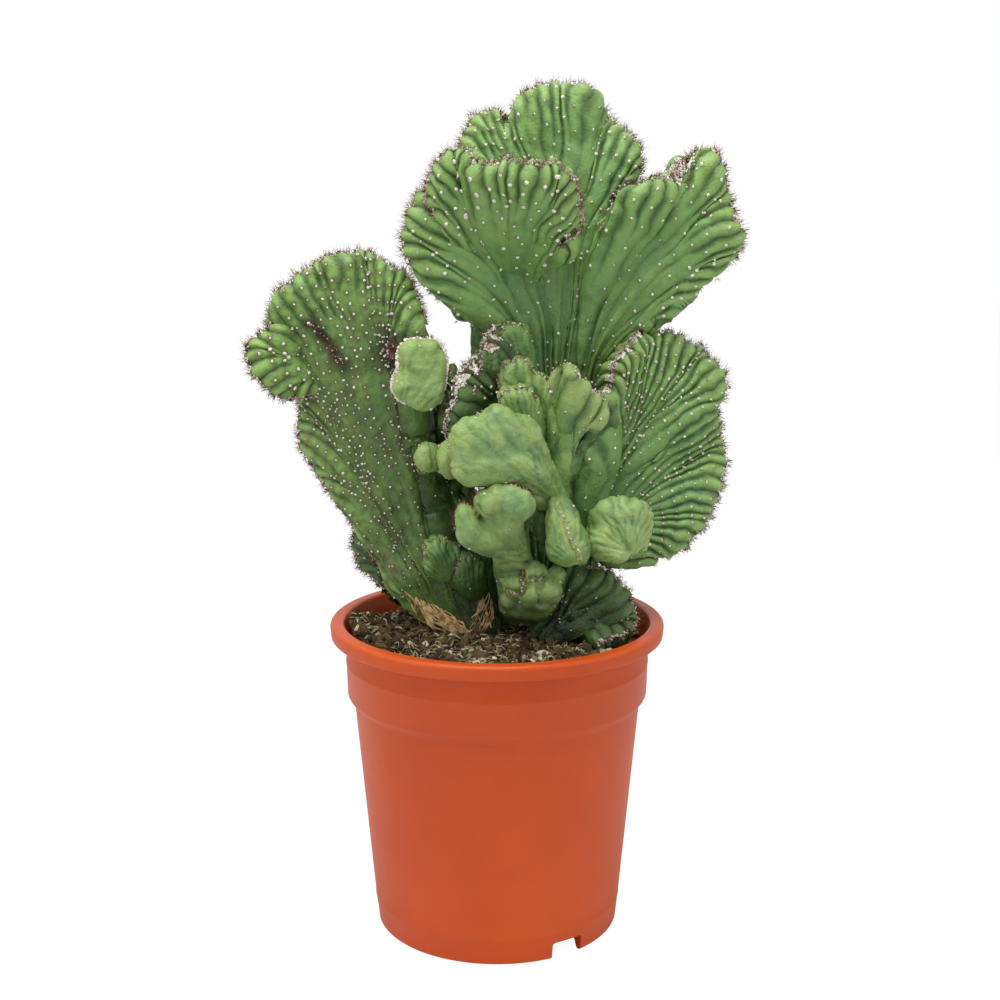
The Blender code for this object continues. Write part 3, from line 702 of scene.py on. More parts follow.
def growStem(name, stem, look):
    low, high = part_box(stem.get("node", name))
    origin = np.array([(low.x + high.x) / 2, (low.y + high.y) / 2, low.z]) / mm
    across, along = look["grid"]
    sheet = fanSheet(stem, across, along) + origin
    edge = sheet[:, -1]
    run = np.concatenate([[0], np.cumsum(np.linalg.norm(np.diff(edge, axis=0), axis=1))])
    stepOut = np.linalg.norm(np.diff(sheet, axis=1), axis=2)
    fromFoot = np.concatenate([np.zeros((across, 1)), np.cumsum(stepOut, axis=1)], axis=1)
    toCrest = fromFoot[:, -1:] - fromFoot
    spread = np.linalg.norm(np.gradient(sheet, axis=0), axis=2)
    spread = eased(spread / np.maximum(spread[:, -1:], 1e-6), max(2, across // 50))

    # small waves run along the edge and die away below it, over broad uneven swells
    normal = unit(np.cross(np.gradient(sheet, axis=0), np.gradient(sheet, axis=1)))
    waveHeight, waveLength = look["ruffle"]
    wave = np.sin(2 * np.pi * run[:, None] / waveLength + 1.5 * wobble(sheet, 60, look["seed"]))
    place = np.linspace(0, 1, across)[:, None]
    inner = np.clip(np.minimum(place, 1 - place) / 0.08, 0, 1)
    swells = look["swells"] * wobble(sheet, 42, look["seed"] + 9) * np.clip(fromFoot / 60, 0, 1)
    sheet = sheet + normal * (waveHeight * wave * inner * np.exp(-toCrest / 22) + swells)[..., None]
    lip = 0.8 * waveHeight * wobble(sheet, 11, look["seed"] + 1) * inner * np.exp(-toCrest / 9)
    sheet = sheet + unit(np.gradient(sheet, axis=1)) * lip[..., None]

    # thickness, rounded over at the crest line and at both sides
    normal = unit(np.cross(np.gradient(sheet, axis=0), np.gradient(sheet, axis=1)))
    stepSide = np.linalg.norm(np.diff(sheet, axis=0), axis=2)
    fromLeft = np.concatenate([np.zeros((1, along)), np.cumsum(stepSide, axis=0)], axis=0)
    toSide = np.minimum(fromLeft, fromLeft[-1:] - fromLeft)
    share = fromFoot / np.maximum(fromFoot[:, -1:], 1e-6)
    half = 0.5 * np.interp(share, [0.0, 0.6, 1.0], stem["thick"])
    half = half * (1 + 0.06 * wobble(sheet, 34, look["seed"] + 2))
    near = np.clip(np.minimum(toCrest, toSide) / half, 0, 1)
    half = half * np.sqrt(1 - (1 - near) ** 2)

    # ribs that merge in pairs as their lines draw together
    pitch, depth = look["rib"]
    (broadDrift, broadSize), (fineDrift, fineSize) = look["drift"]
    ribPlace = run[:, None] / pitch + broadDrift * wobble(sheet, broadSize, look["seed"] + 3)
    ribPlace = ribPlace + fineDrift * wobble(sheet, fineSize, look["seed"] + 8)
    target = pitch + (look["mergeTo"] - pitch) * (1 - np.exp(-((toCrest / 30) ** 2)))
    level = np.log2(target / (pitch * np.clip(spread, 0.02, 4))) - 0.35
    level = np.clip(np.where(level < 0, np.minimum(level + 0.6, 0), level), ribLevels[0], ribLevels[-1])
    rib, tone = ribField(ribPlace, level, look["seed"] + 7)
    reachAt = look["ribReach"] * (1 + 0.45 * wobble(sheet, 22, look["seed"] + 6))
    fade = look["lowDepth"] + (1 - look["lowDepth"]) * np.exp(-((toCrest / reachAt) ** 2))
    push = depth * fade * (rib - 0.72)
    shown = 0.45 * fade + 0.55 * np.exp(-((toCrest / reachAt) ** 2))
    ribRuns = np.stack([run[:, None] / pitch + 0 * toCrest, 0.03 * toCrest, 0 * toCrest], axis=-1)
    fold = wobble(ribRuns, 4.6, look["seed"] + 12) * (1 - np.exp(-((toCrest / 42) ** 2)))
    fold = fold * np.clip(fromFoot / 50, 0, 1)
    push = push + look["folds"] * fold
    streak = 0.45 * wobble(ribRuns, 3.5, look["seed"] + 7) + 0.75 * tone + 0.5 * fold

    def folded(front, back):
        return np.concatenate([front, back[:, -2::-1]], axis=1)

    skin = folded(sheet + normal * half[..., None], sheet - normal * half[..., None])
    facing = unit(np.cross(np.gradient(skin, axis=1), np.gradient(skin, axis=0)))
    if np.mean(np.sum(facing[:, :along] * normal, axis=2)) < 0:
        facing = -facing
    facing = unit(facing + 1e-6)
    rough = 0.22 * wobble(skin, 11, look["seed"] + 4) + 0.06 * wobble(skin, 3.4, look["seed"] + 5)
    skin = skin + facing * (folded(push, push) + rough * min(1.0, depth))[..., None]

    # where areoles sit: along the ribs of whichever level rules there, staggered from rib to rib
    rows = 2 * along - 1
    deep = np.linspace(0, 400, 400)
    gapAt = look["areole"][0] + (look["areole"][1] - look["areole"][0]) * (1 - np.exp(-deep / 35))
    steps = np.interp(toCrest, deep, np.concatenate([[0], np.cumsum(1 / gapAt[:-1] * np.diff(deep))]))
    ruling = np.round(level)
    columns, places = [], []
    for n in ribLevels:
        here = ribPlace / 2.0**n
        onRib = np.floor(here - 0.5)
        crossing = onRib[1:, :-1] != onRib[:-1, :-1]
        stagger = steps + 0.5 * (np.floor(here) % 2)
        beat = np.floor(stagger[:-1, 1:]) != np.floor(stagger[:-1, :-1])
        inside = (toCrest[:-1, :-1] > look["keepOff"][0]) & (toSide[:-1, :-1] > look["keepOff"][1])
        found = crossing & beat & (ruling[:-1, :-1] == n) & inside
        i, j = np.nonzero(found)
        columns += [i, i]
        places += [j, rows - 1 - j]
    columns, places = np.concatenate(columns), np.concatenate(places)
    deepness = toCrest[columns, np.minimum(places, rows - 1 - places)]
    chance = np.random.default_rng(look["seed"] + 60)
    kept = chance.uniform(size=len(columns)) < np.interp(deepness, look["sparse"], (1.0, 0.25))
    kept &= skin[columns, places, 2] > potHigh.z / mm - 1.0
    kept &= chance.uniform(size=len(columns)) > 0.93 * spreadOf(look["bare"], skin[columns, places])
    columns, places, deepness = columns[kept], places[kept], deepness[kept]
    near = farFrom(skin.reshape(-1, 3), [skin[columns, places]]).reshape(across, rows)
    skin = skin + facing * (look["mound"] * np.exp(-((near / 1.9) ** 2)))[..., None]

    index = np.arange(across * rows).reshape(across, rows)
    quads = np.stack(
        [index[:-1, :-1], index[:-1, 1:], index[1:, 1:], index[1:, :-1]], axis=-1,
    ).reshape(-1, 4).tolist()
    for column, turned in ((0, False), (across - 1, True)):
        for j in range(along - 1):
            loop = [
                index[column, j], index[column, rows - 1 - j], index[column, rows - 2 - j],
                index[column, j + 1],
            ]
            loop = list(dict.fromkeys(int(v) for v in loop))
            quads.append(tuple(reversed(loop)) if turned else tuple(loop))
    foot = [
        (int(index[i, 0]), int(index[i + 1, 0]), int(index[i + 1, -1]), int(index[i, -1]))
        for i in range(across - 1)
    ]
    # rib carries the grooves' painted shade and the crowns' painted highlight; young, darker lower down, is
    # partly painted shade
    bothSides = {
        "rib": 1 - (1 - rib) * shown,
        "edge": np.exp(-toCrest / 14),
        "young": np.exp(-toCrest / 45),
        "streak": streak,
    }
    fields = {field: folded(values, values) for field, values in bothSides.items()}
    fields["mound"] = np.exp(-((near / 2.6) ** 2))
    fields.update({mark: spreadOf(look[mark], skin.reshape(-1, 3)) for mark in ("cork", "dusk")})
    mesh = outwards(meshFrom(name, skin.reshape(-1, 3), quads + foot, fields))
    piece = thinned(link(name + "_skin", mesh), look["faces"])

    crestRow = skin[:, along - 1]
    crestWay = unit(facing[:, along - 1] + 0.8 * unit(np.gradient(sheet, axis=1)[:, -1]))
    growth = {
        "spots": skin[columns, places], "ways": facing[columns, places],
        "below": deepness,
        "lines": [(crestRow, crestWay, run)], "look": look,
    }
    return piece, growth


# The plant's skin is a waxy cuticle over green tissue: a soft broad sheen, a pale bloom and yellower along
# the growing edge. Its groove tone is painted shade, its rib tone a painted highlight on the crowns and its
# low tone partly painted shade lower down: the tones run from the shaded grooves to the lit ribs.
palettes = {
    "old": {
        "groove": "#14210e", "low": "#53733f", "mid": "#557c40", "rib": "#8eb568", "edge": "#99b767",
        "cool": "#2f6341", "pale": "#7ea267", "warm": "#76903d", "speckle": 0.15,
    },
    "left": {
        "groove": "#1a2611", "low": "#374b26", "mid": "#4b7234", "rib": "#89b25b", "edge": "#94b360",
        "cool": "#35633a", "pale": "#7f9f5e", "warm": "#7b833a", "speckle": 0.62,
    },
    "young": {
        "groove": "#37502a", "low": "#587a42", "mid": "#779753", "rib": "#96b16a", "edge": "#a9b76a",
        "cool": "#5f8b70", "pale": "#a9bf86", "warm": "#a5b35b", "speckle": 0.0,
    },
    "fresh": {
        "groove": "#25401a", "low": "#4d7038", "mid": "#638648", "rib": "#97b46e", "edge": "#a8b96c",
        "cool": "#4f7a58", "pale": "#9cb67c", "warm": "#94a74e", "speckle": 0.0,
    },
    # a darker copy of the skin for the stems and buds that sit in shadow low down and behind the others:
    # painted shade over their own green
    "shade": {
        "groove": "#0f160a", "low": "#213520", "mid": "#2d4824", "rib": "#486834", "edge": "#628044",
        "cool": "#27452d", "pale": "#4a6840", "warm": "#50602b", "speckle": 0.4,
    },
}


def makeSkin(kind):
    tones = palettes[kind]
    material, tree, shader = newMaterial("waxyCuticle_" + kind, IOR=1.42, Metallic=0.0)
    place = addNode(tree, "ShaderNodeTexCoord").outputs["Object"]
    rib, edge, young, mound, streak, cork, dusk = (
        addNode(tree, "ShaderNodeAttribute", attribute_name=field).outputs["Fac"]
        for field in ("rib", "edge", "young", "mound", "streak", "cork", "dusk")
    )

    def blend(factor, one, two, kindOfMix="MIX"):
        node = addNode(
            tree, "ShaderNodeMix", {"Factor": factor, 6: one, 7: two}, data_type="RGBA", blend_type=kindOfMix,
        )
        return node.outputs[2]

    def ranged(value, low, high, toLow=0.0, toHigh=1.0):
        limits = {"From Min": low, "From Max": high, "To Min": toLow, "To Max": toHigh}
        return addNode(tree, "ShaderNodeMapRange", {"Value": value, **limits}).outputs[0]

    # mottling at four sizes: millimetres, detail, roughness and distortion
    broad, patches, cloud, fine = (
        addNode(
            tree, "ShaderNodeTexNoise",
            {
                "Vector": place, "Scale": 1 / (size * mm), "Detail": detail, "Roughness": rough,
                "Distortion": bend,
            },
        ).outputs["Fac"]
        for size, detail, rough, bend in (
            (34, 3.0, 0.55, 0.0), (13, 4.0, 0.6, 0.4), (6.5, 4.0, 0.6, 0.0), (2.6, 5.0, 0.65, 0.0),
        )
    )
    # darker lower down, away from the growing edge: partly the older skin's own tone, partly painted shade on
    # the lower stems
    body = blend(ranged(young, 0.15, 0.85), linear(tones["low"]), linear(tones["mid"]))
    body = blend(ranged(broad, 0.42, 0.68, 0.0, 0.6), body, linear(tones["cool"]))
    body = blend(ranged(patches, 0.54, 0.74, 0.0, 0.6), body, linear(tones["warm"]))
    body = blend(ranged(streak, 0.1, 1.1, 0.0, 0.6), body, linear(tones["warm"]))
    body = blend(ranged(streak, -0.1, -1.1, 0.0, 0.42), body, linear(tones["cool"]))
    # a painted highlight on the rib crowns, strongest near the lit growing edge
    crown = addNode(tree, "ShaderNodeMath", {0: rib, 1: 3.0}, operation="POWER").outputs[0]
    crownHighlight = addNode(
        tree, "ShaderNodeMath", {0: ranged(crown, 0.35, 1.0), 1: ranged(young, 0.2, 0.75, 0.3, 1.0)},
        operation="MULTIPLY",
    ).outputs[0]
    body = blend(crownHighlight, body, linear(tones["rib"]))
    body = blend(ranged(edge, 0.3, 1.0, 0.0, 0.6), body, linear(tones["edge"]))
    # painted shade in the grooves, in the pads' creases and between their veins
    body = blend(ranged(rib, 0.0, 0.88, 0.95, 0.0), body, linear(tones["groove"]))
    body = blend(ranged(mound, 0.2, 0.9, 0.0, tones["speckle"]), body, linear("#403a24"))
    body = blend(ranged(cloud, 0.5, 0.72, 0.0, 0.4), body, linear(tones["pale"]))
    body = blend(ranged(cloud, 0.48, 0.3, 0.0, 0.4), body, linear(tones["low"]))
    body = blend(ranged(fine, 0.35, 0.75, 0.0, 0.45), body, linear("#c9d6b4"), "SOFT_LIGHT")
    # painted shade: the skin turns near black round the given places, in creases, hollows and low stalks
    body = blend(ranged(dusk, 0.0, 1.0, 0.0, 0.85), body, linear("#17200f"))
    bark = blend(ranged(fine, 0.35, 0.7), linear("#4c3f22"), linear("#8b7040"))
    body = blend(ranged(cork, 0.1, 1.0, 0.0, 0.65), body, bark)
    tree.links.new(body, shader.inputs["Base Color"])
    rough = ranged(patches, 0.3, 0.7, 0.34, 0.5)
    tree.links.new(rough, shader.inputs["Roughness"])
    grain = addNode(
        tree, "ShaderNodeTexVoronoi", {"Vector": place, "Scale": 1 / 0.0011}, feature="F1",
    ).outputs["Distance"]
    relief = addNode(tree, "ShaderNodeMath", {0: fine, 1: grain}, operation="ADD").outputs[0]
    bump = addNode(tree, "ShaderNodeBump", {"Strength": 0.35, "Distance": 0.0006, "Height": relief})
    bump = addNode(
        tree, "ShaderNodeBump",
        {"Strength": 0.45, "Distance": 0.0022, "Height": cloud, "Normal": bump.outputs[0]},
    )
    tree.links.new(bump.outputs[0], shader.inputs["Normal"])
    return material


skins = {kind: makeSkin(kind) for kind in palettes}
grown, pieces = {}, {}


def grow(name, shape, look, grower):
    piece, grown[name] = grower(name, shape, look)
    pieces[name] = piece
    piece.data.materials.clear()
    piece.data.materials.append(skins[look["skin"]])
    slot = "young_skin" if look["skin"] == "young" else "stem_skin"
    onBody(piece, slot, *([] if "node" in shape else [name]))
    print("grown:", name, len(piece.data.polygons), "faces", len(grown[name]["spots"]), "areoles")


for name, stem in stems.items():
    grow(name, stem, {**common, **finishes[name]}, growStem)


# Smooth pads and buds, from rounded limbs that melt together. A limb's stations are x, y, z and its half
# width, half depth and half height there, in millimetres from the middle of the underside of the CAD node's
# box. A crease has a depth and a width, edge lines bear wool and bristles, and dots are areoles on the face.
pads = {
    "front_pad": {
        "root": (25, 0, 14),
        "limbs": [
            [(27, 12, 8, 5, 5, 6), (17, 3, 23, 8, 7, 9), (5, -4, 41, 13, 7.5, 13)],
            [(27, 12, 8, 5, 5, 6), (15, 1, 25, 8, 7, 9), (-4, -7, 46, 12, 7.5, 12)],
            [(25, 10, 9, 5, 5, 6), (12, -1, 23, 9, 7, 8), (-15, -13, 40, 12.5, 8, 14)],
            [(25, 10, 8, 5, 5, 6), (10, -3, 22, 10, 7, 6), (-12, -13, 29, 14, 8, 10)],
            [(25, 10, 8, 5, 5, 6), (12, -3, 23, 10, 7, 7), (2, -8, 28, 14, 8, 9.5)],
        ],
        "creases": [
            [(23, 5, 14), (12, -6, 34), (7, -6, 48)],
            [(23, 4, 13), (8, -8, 31), (-7, -10, 55)],
            [(23, 4, 12), (5, -11, 27), (-17, -20, 48)],
            [(21, 5, 18), (17, 0, 29), (11, -3, 40)],
        ],
        "edge": [
            [
                (-25, -16, 28), (-28, -16, 40), (-26, -13, 48), (-21, -10, 53), (-14, -8, 54),
                (-11, -6, 56), (-5, -2, 57), (3, 2, 53),
            ],
        ],
        "crease": (0.5, 1.3),
        "dots": 5,
    },
    "forked_pad": {
        "root": (4, -8, 25),
        "limbs": [
            [(12, 16, -3, 10, 9, 7), (11, 8, 10, 10, 9, 7), (9, -2, 24, 10, 8.5, 6.5)],
            [
                (10, 2, 17, 10.5, 9, 5), (8, -8, 31, 9.5, 9, 7), (6, -16, 43, 8.5, 8.5, 8),
                (5, -21, 55, 9, 8.5, 7),
            ],
            [(-2, -22, 58, 8, 8.5, 8), (4, -23, 60, 9, 8.5, 8), (11, -22, 57, 8.5, 8.5, 8.5)],
            [(3, -11, 35, 9, 8.5, 6.5), (-5, -18, 39, 8, 8.5, 7.5), (-12, -22, 43, 6.5, 8, 8)],
            [(-12, -22, 43, 6.5, 8, 8), (-14, -23, 52, 5, 7, 6)],
            [(-4, -17, 45, 7, 8, 6.5), (0, -18, 49, 7, 8, 7)],
        ],
        "creases": [
            [(3, -12, 24), (10, -14, 26), (18, -8, 26)],
            [(2, -18, 35), (8, -20, 33), (15, -16, 34)],
            [(3, -18, 31), (8, -20, 29), (15, -14, 30)],
            [(4, -4, 15), (11, -6, 17), (18, 0, 17)],
            [(4, -8, 19), (11, -10, 21), (18, -4, 21)],
            [(5, 0, 10), (11, -2, 12), (18, 4, 12)],
            [(5, 4, 6), (12, 2, 8), (19, 8, 8)],
            [(-10, -30, 57), (-7, -30, 53), (-2, -30, 49)],
        ],
        "edge": [
            [
                (-8, -22, 55), (-9, -22, 61), (-6, -22, 65), (-2, -23, 66), (5, -23, 67), (12, -23, 65),
                (17, -22, 60),
            ],
            [(-8, -24, 54), (-10, -24, 57), (-15, -24, 57), (-17, -24, 52), (-18, -23, 45)],
        ],
        "crease": (1.9, 1.1),
        "dots": 9,
    },
    "clam_pad": {
        "root": (0, -9, 4),
        "limbs": [
            [(-9, -1, 34, 3.5, 6, 4.5), (-8, -7, 26, 5, 8, 9), (-6, -11, 16, 7.5, 9, 9.5)],
            [(-6, -11, 16, 7.5, 9, 9.5), (-3, -11, 12, 8.5, 9, 7)],
            [(-5, 1, 34, 3.5, 6, 4.5), (-1, -4, 24, 5, 8, 9), (4, -7, 13, 5, 8.5, 8.5)],
            [(-5, 19, 9, 8, 8, 10), (-4, 4, 15, 8, 8, 12)],
        ],
        "creases": [
            [(-8, -9, 36), (-3, -15, 30), (1, -19, 23), (2, -19, 16), (0, -15, 8)],
        ],
        "edge": [
            [(-7, -9, 37), (-2, -15, 30), (2, -19, 23), (4, -19, 16), (2, -15, 7)],
        ],
        "crease": (1.6, 1.2),
        "dots": 3,
    },
    "folded_pad": {
        "root": (1, -12, 17),
        "limbs": [
            [(-10, 16, 18, 9, 8, 12), (-11, 0, 19, 9, 8, 11), (-10, -8, 20, 8.5, 9, 9.5)],
            [(-10, -8, 20, 8.5, 9, 9.5), (-5, -10, 16, 7, 8, 7)],
            [(-13, 2, 28, 6, 7, 7), (-6, -8, 34, 9, 8, 8), (2, -10, 35, 8, 7.5, 6.5)],
            [(-5, -8, 30, 8, 8, 7), (2, -10, 24, 6.5, 8, 9), (3, -8, 20, 4.5, 7, 6)],
            [(2, -8, 34, 8, 7.5, 6), (8, -4, 30, 5, 6, 8), (8, -2, 21, 3.5, 5.5, 8)],
        ],
        "creases": [
            [(-17, -14, 28), (-8, -18, 24), (-1, -14, 17)],
            [(-14, -14, 31), (-7, -18, 27), (0, -14, 18)],
            [(-10, -14, 34), (-4, -17, 29), (0, -15, 20)],
            [(-5, -14, 38), (1, -16, 32), (3, -14, 22)],
            [(-17, -14, 21), (-9, -18, 19), (-1, -16, 17)],
        ],
        "edge": [
            [(10, -10, 39), (11, -8, 33), (10, -6, 23), (7, -4, 13)],
        ],
        "crease": (0.8, 0.6),
        "dots": 2,
    },
    "round_pad": {
        "root": (-7, 3, -5),
        "limbs": [
            [(5, 9, 12, 7, 7, 8), (4, -1, 15, 9, 6, 10)],
            [(-1, -8, 27, 8, 5.5, 9.5), (6, -7, 28, 8.5, 5.5, 9)],
            [(-4, -8, 14, 7.5, 5.5, 9), (4, -7, 13, 10.5, 6, 12)],
            [(0, -8, 20, 9, 5.5, 14), (8, -6, 21, 7.5, 5.5, 15)],
        ],
        "creases": [
            [(-8, -9, 24), (-3, -13, 23), (1, -13, 20)],
            [(11, -7, 31), (8, -13, 28)],
            [(-6, -9, 11), (-1, -13, 13)],
        ],
        "edge": [
            [
                (-6, -6, 4), (-11, -8, 10), (-12, -9, 16), (-9, -10, 24), (-8, -9, 30),
                (-3, -8, 35), (5, -8, 37), (11, -7, 34), (15, -6, 27), (16, -5, 19),
                (14, -5, 11), (11, -6, 5),
            ],
        ],
        "crease": (0.7, 2.0),
        "dots": 4,
    },
    "knob_crest": {
        "limbs": [
            [(-3, 3, 24, 15, 10, 9), (-3, -1, 25, 14, 9, 8)],
            [(-8, -7, 37, 9, 8.5, 8), (-8, -5, 36, 8, 8, 8)],
            [(-12, -4, 29, 6.5, 6.5, 6), (-12, -3, 29, 6, 6, 6)],
            [(-1, -8, 43, 6.5, 7, 6), (-1, -5, 41, 6.5, 7, 6)],
            [(6, -8, 35, 7.5, 8, 8), (5, -5, 34, 8, 8, 8)],
            [(-2, -11, 33, 7, 7, 7), (-2, -7, 31, 7, 7, 7)],
            [(10, -5, 41, 4.5, 5, 5), (10, -1, 39, 5, 5, 5)],
            [(-14, -4, 40, 4.5, 5, 4.5), (-13, -1, 38, 5, 5, 5)],
            [(2, -8, 28, 6, 6, 5), (2, -5, 27, 6, 6, 5)],
        ],
        "creases": [
            [
                (-15, -12, 35), (-11, -15, 35), (-8, -15, 35), (-5, -17, 40), (-1, -17, 42), (2, -15, 41),
                (5, -12, 43),
            ],
            [(-6, -9, 44), (-7, -14, 41), (-5, -17, 40)],
            [(1, -14, 29), (2, -17, 35), (2, -15, 41)],
        ],
        "edge": [
            [(-15, -12, 35), (-8, -15, 35), (-5, -15, 40), (2, -15, 41), (5, -12, 43)],
            [(-6, -9, 44), (-7, -14, 41), (-5, -15, 40)],
        ],
        "crease": (2.2, 1.4),
        "dots": 8,
    },
    "crest_lumps": {
        "node": "edge_crest",
        "limbs": [
            [(-20, -13, 49, 3.2, 4, 4.5), (-20, -15, 47, 3.2, 4, 4)],
            [(-23, -9, 39, 3, 4, 4), (-23, -10, 37, 3, 4, 3.5)],
            [(-9, -17, 43, 4.2, 5, 4.5), (-10, -19, 40, 4.5, 5, 4.5)],
            [(-17, -9, 32, 4, 5, 5), (-18, -11, 29, 4, 5, 5)],
            [(-23, -5, 27, 4, 5, 6), (-23, -7, 24, 4, 5, 6)],
            [(1, -19, 56, 2.4, 4, 4.5), (1, -20, 53, 2.4, 4, 4.5)],
            [(-4, -17, 56, 3, 4, 5), (-5, -18, 53, 3, 4, 5)],
            [(-13, -15, 36, 3, 4, 4), (-14, -16, 34, 3, 4, 4)],
            [
                (-28, 9, 33, 6, 5, 8), (-28, 9, 18, 6, 5, 10), (-25, 8, 5, 6, 5, 8), (-15, 8, -15, 6, 5, 9),
                (-13, 8, -26, 5, 5, 8),
            ],
        ],
        "edge": [
            [(-22, -18, 52), (-18, -17, 46), (-21, -14, 40), (-19, -15, 33), (-22, -12, 28), (-24, -10, 20)],
            [(-6, -20, 60), (-6, -22, 50), (-8, -23, 44), (-12, -21, 37)],
        ],
        "crease": (0.5, 1.0),
        "dots": 10,
    },
    "inner_twin": {
        "limbs": [
            [(2, 2, 5, 6, 6, 8), (-3, -4, 6, 6, 7, 9), (-5, -7, 8, 5.5, 6.5, 9.5)],
        ],
        "edge": [
            [(-8, -8, 15), (-10, -9, 8), (-8, -8, 1)],
        ],
        "crease": (0.5, 1.0),
        "dots": 2,
    },
    "outer_twin": {
        "limbs": [
            [(2, 9, 4, 5, 5, 6), (-2, 2, 6, 6, 7, 7.5), (-4, 0, 7, 6, 7, 7.5)],
        ],
        "creases": [
            [(-2, -3, 14), (0, -7, 8), (-1, -3, 1)],
        ],
        "edge": [
            [(-7, -1, 13), (-10, -2, 8), (-7, -1, 1)],
        ],
        "crease": (0.7, 1.0),
        "dots": 1,
    },
    "upper_gap_bud": {
        "limbs": [
            [(2, 5, 3, 5, 6, 5), (-3, -3, 8, 6, 6, 6), (-7, -6, 10, 5.5, 6, 5)],
        ],
        "edge": [
            [(-11, -6, 12), (-7, -6, 15), (-1, -3, 13)],
        ],
        "crease": (0.5, 1.0),
        "dots": 2,
    },
    "lower_gap_bud": {
        "limbs": [
            [(1, 5, 7, 5, 6, 9), (-2, -5, 12, 5, 6, 9), (-3, -8, 13, 4.5, 5.5, 9)],
        ],
        "edge": [
            [(-5, -7, 20), (-7, -9, 14), (-5, -7, 5)],
        ],
        "crease": (0.5, 1.0),
        "dots": 2,
    },
    "left_shade_bud": {
        "limbs": [
            [(4, 17, -6, 8, 7, 8), (-1, 5, 4, 8, 7, 8), (-5, 0, 14, 7.5, 7, 7.5)],
            [(2, 9, 0, 6, 6, 7), (2, 2, 11, 6, 6, 7)],
            [(-2, 5, 1, 6, 6, 6), (-8, 1, 7, 5, 6, 6)],
        ],
        "edge": [
            [(-11, -2, 9), (-10, -4, 17), (-4, -4, 22), (2, -2, 20), (6, 0, 15)],
        ],
        "crease": (0.5, 1.0),
        "dots": 9,
    },
    "right_shade_bud": {
        "limbs": [
            [(6, 13, -4, 8, 7, 7), (3, 3, 6, 8, 7, 8), (1, -1, 16, 6, 6, 7)],
            [(5, 7, 3, 6, 6, 7), (7, 1, 13, 5, 6, 6)],
            [(11, 13, 20, 4, 5, 8), (12, 13, 10, 4.5, 5, 8), (12, 13, 0, 5, 6, 8)],
        ],
        "edge": [
            [(-3, -3, 12), (-2, -5, 20), (3, -4, 23), (8, -3, 19)],
        ],
        "crease": (0.5, 1.0),
        "dots": 9,
    },
    "finger_bud": {
        "limbs": [
            [(-9, -2, 10, 7, 6, 6), (-10, -4, 25, 5.5, 5.5, 8), (-11, -5, 41, 4, 4.5, 5.5)],
            [(-7, -2, 12, 6, 6, 6), (-6, -3, 25, 4.5, 5, 8), (-7, -3, 35, 4, 4, 5)],
        ],
        "edge": [
            [(-14, -8, 38), (-12, -7, 46), (-8, -8, 42)],
        ],
        "crease": (0.5, 1.0),
        "dots": 6,
    },
    "stem_bud": {
        "limbs": [
            [(-2, 4, 11, 9, 7, 7), (-7, 0, 27, 7.5, 6, 9), (-9, -2, 38, 6, 5.5, 7.5)],
            [(-1, 2, 13, 7, 6, 7), (-3, -1, 30, 6, 5.5, 9), (-4, -2, 38, 5, 5, 6)],
        ],
        "edge": [
            [(-14, -4, 36), (-11, -5, 44), (-5, -5, 45), (-1, -4, 39)],
        ],
        "crease": (0.5, 1.0),
        "dots": 8,
    },
    "mid_lobe": {
        "limbs": [
            [(-1, 5, 7, 9, 8, 8), (-7, -3, 28, 9, 7, 10), (-13, -7, 45, 7, 6, 8)],
            [(1, 5, 7, 9, 8, 8), (-3, -3, 28, 9, 7, 10), (-7, -8, 48, 7, 6, 7)],
            [(3, 5, 7, 8, 8, 8), (2, -3, 27, 8, 7, 10), (0, -9, 42, 6.5, 6, 6)],
            [(3, 3, 12, 8, 7, 8), (5, -5, 28, 6, 6, 9), (7, -10, 36, 5, 5.5, 7)],
        ],
        "creases": [
            [(-10, -13, 52), (-7, -15, 42), (-3, -13, 32)],
            [(-2, -13, 50), (-1, -15, 42), (1, -13, 33)],
        ],
        "edge": [
            [
                (-17, -9, 35), (-19, -11, 44), (-17, -11, 51), (-12, -11, 53), (-8, -11, 55),
                (-4, -11, 53), (-1, -11, 48), (5, -12, 45), (9, -13, 40), (10, -12, 34),
            ],
        ],
        "crease": (0.6, 1.4),
        "dots": 6,
    },
    "low_lobe": {
        "limbs": [
            [(8, 6, 6, 8, 8, 8), (3, -2, 20, 8, 7, 8), (-3, -7, 32, 5.5, 5.5, 6)],
            [(10, 6, 6, 8, 8, 8), (6, -2, 20, 8, 7, 9), (4, -7, 33, 6.5, 6, 6)],
            [(11, 6, 9, 7, 7, 8), (9, -2, 21, 6, 6, 8), (9, -5, 28, 4.5, 5, 6)],
        ],
        "edge": [
            [(-7, -8, 26), (-7, -12, 34), (-4, -12, 38), (1, -12, 38), (6, -11, 37), (11, -9, 32)],
        ],
        "crease": (0.5, 1.0),
        "dots": 7,
    },
}

# How the pads are finished: faces to keep, size of a tuft and its seam, spines per millimetre of edge, veins
# the number of fine ribs in a full turn round the root and their depth, painted shade and cork as for the
# stems.
padCommon = {
    "faces": 6000, "wool": 0.8, "spine": 3.0, "edgeWool": 1.3, "edgeSpines": 2.2, "tuft": 0.6, "seam": 0.35,
    # a pad's base lightness, darker below 0: partly its own skin tone, partly painted light and shade for how
    # lit the pad sits
    "areoleSpines": 0.7, "skin": "young", "ripe": 0.35, "seed": 1, "whiteEdge": False,
    "veins": (40, 0.7), "dusk": [], "cork": [],
}
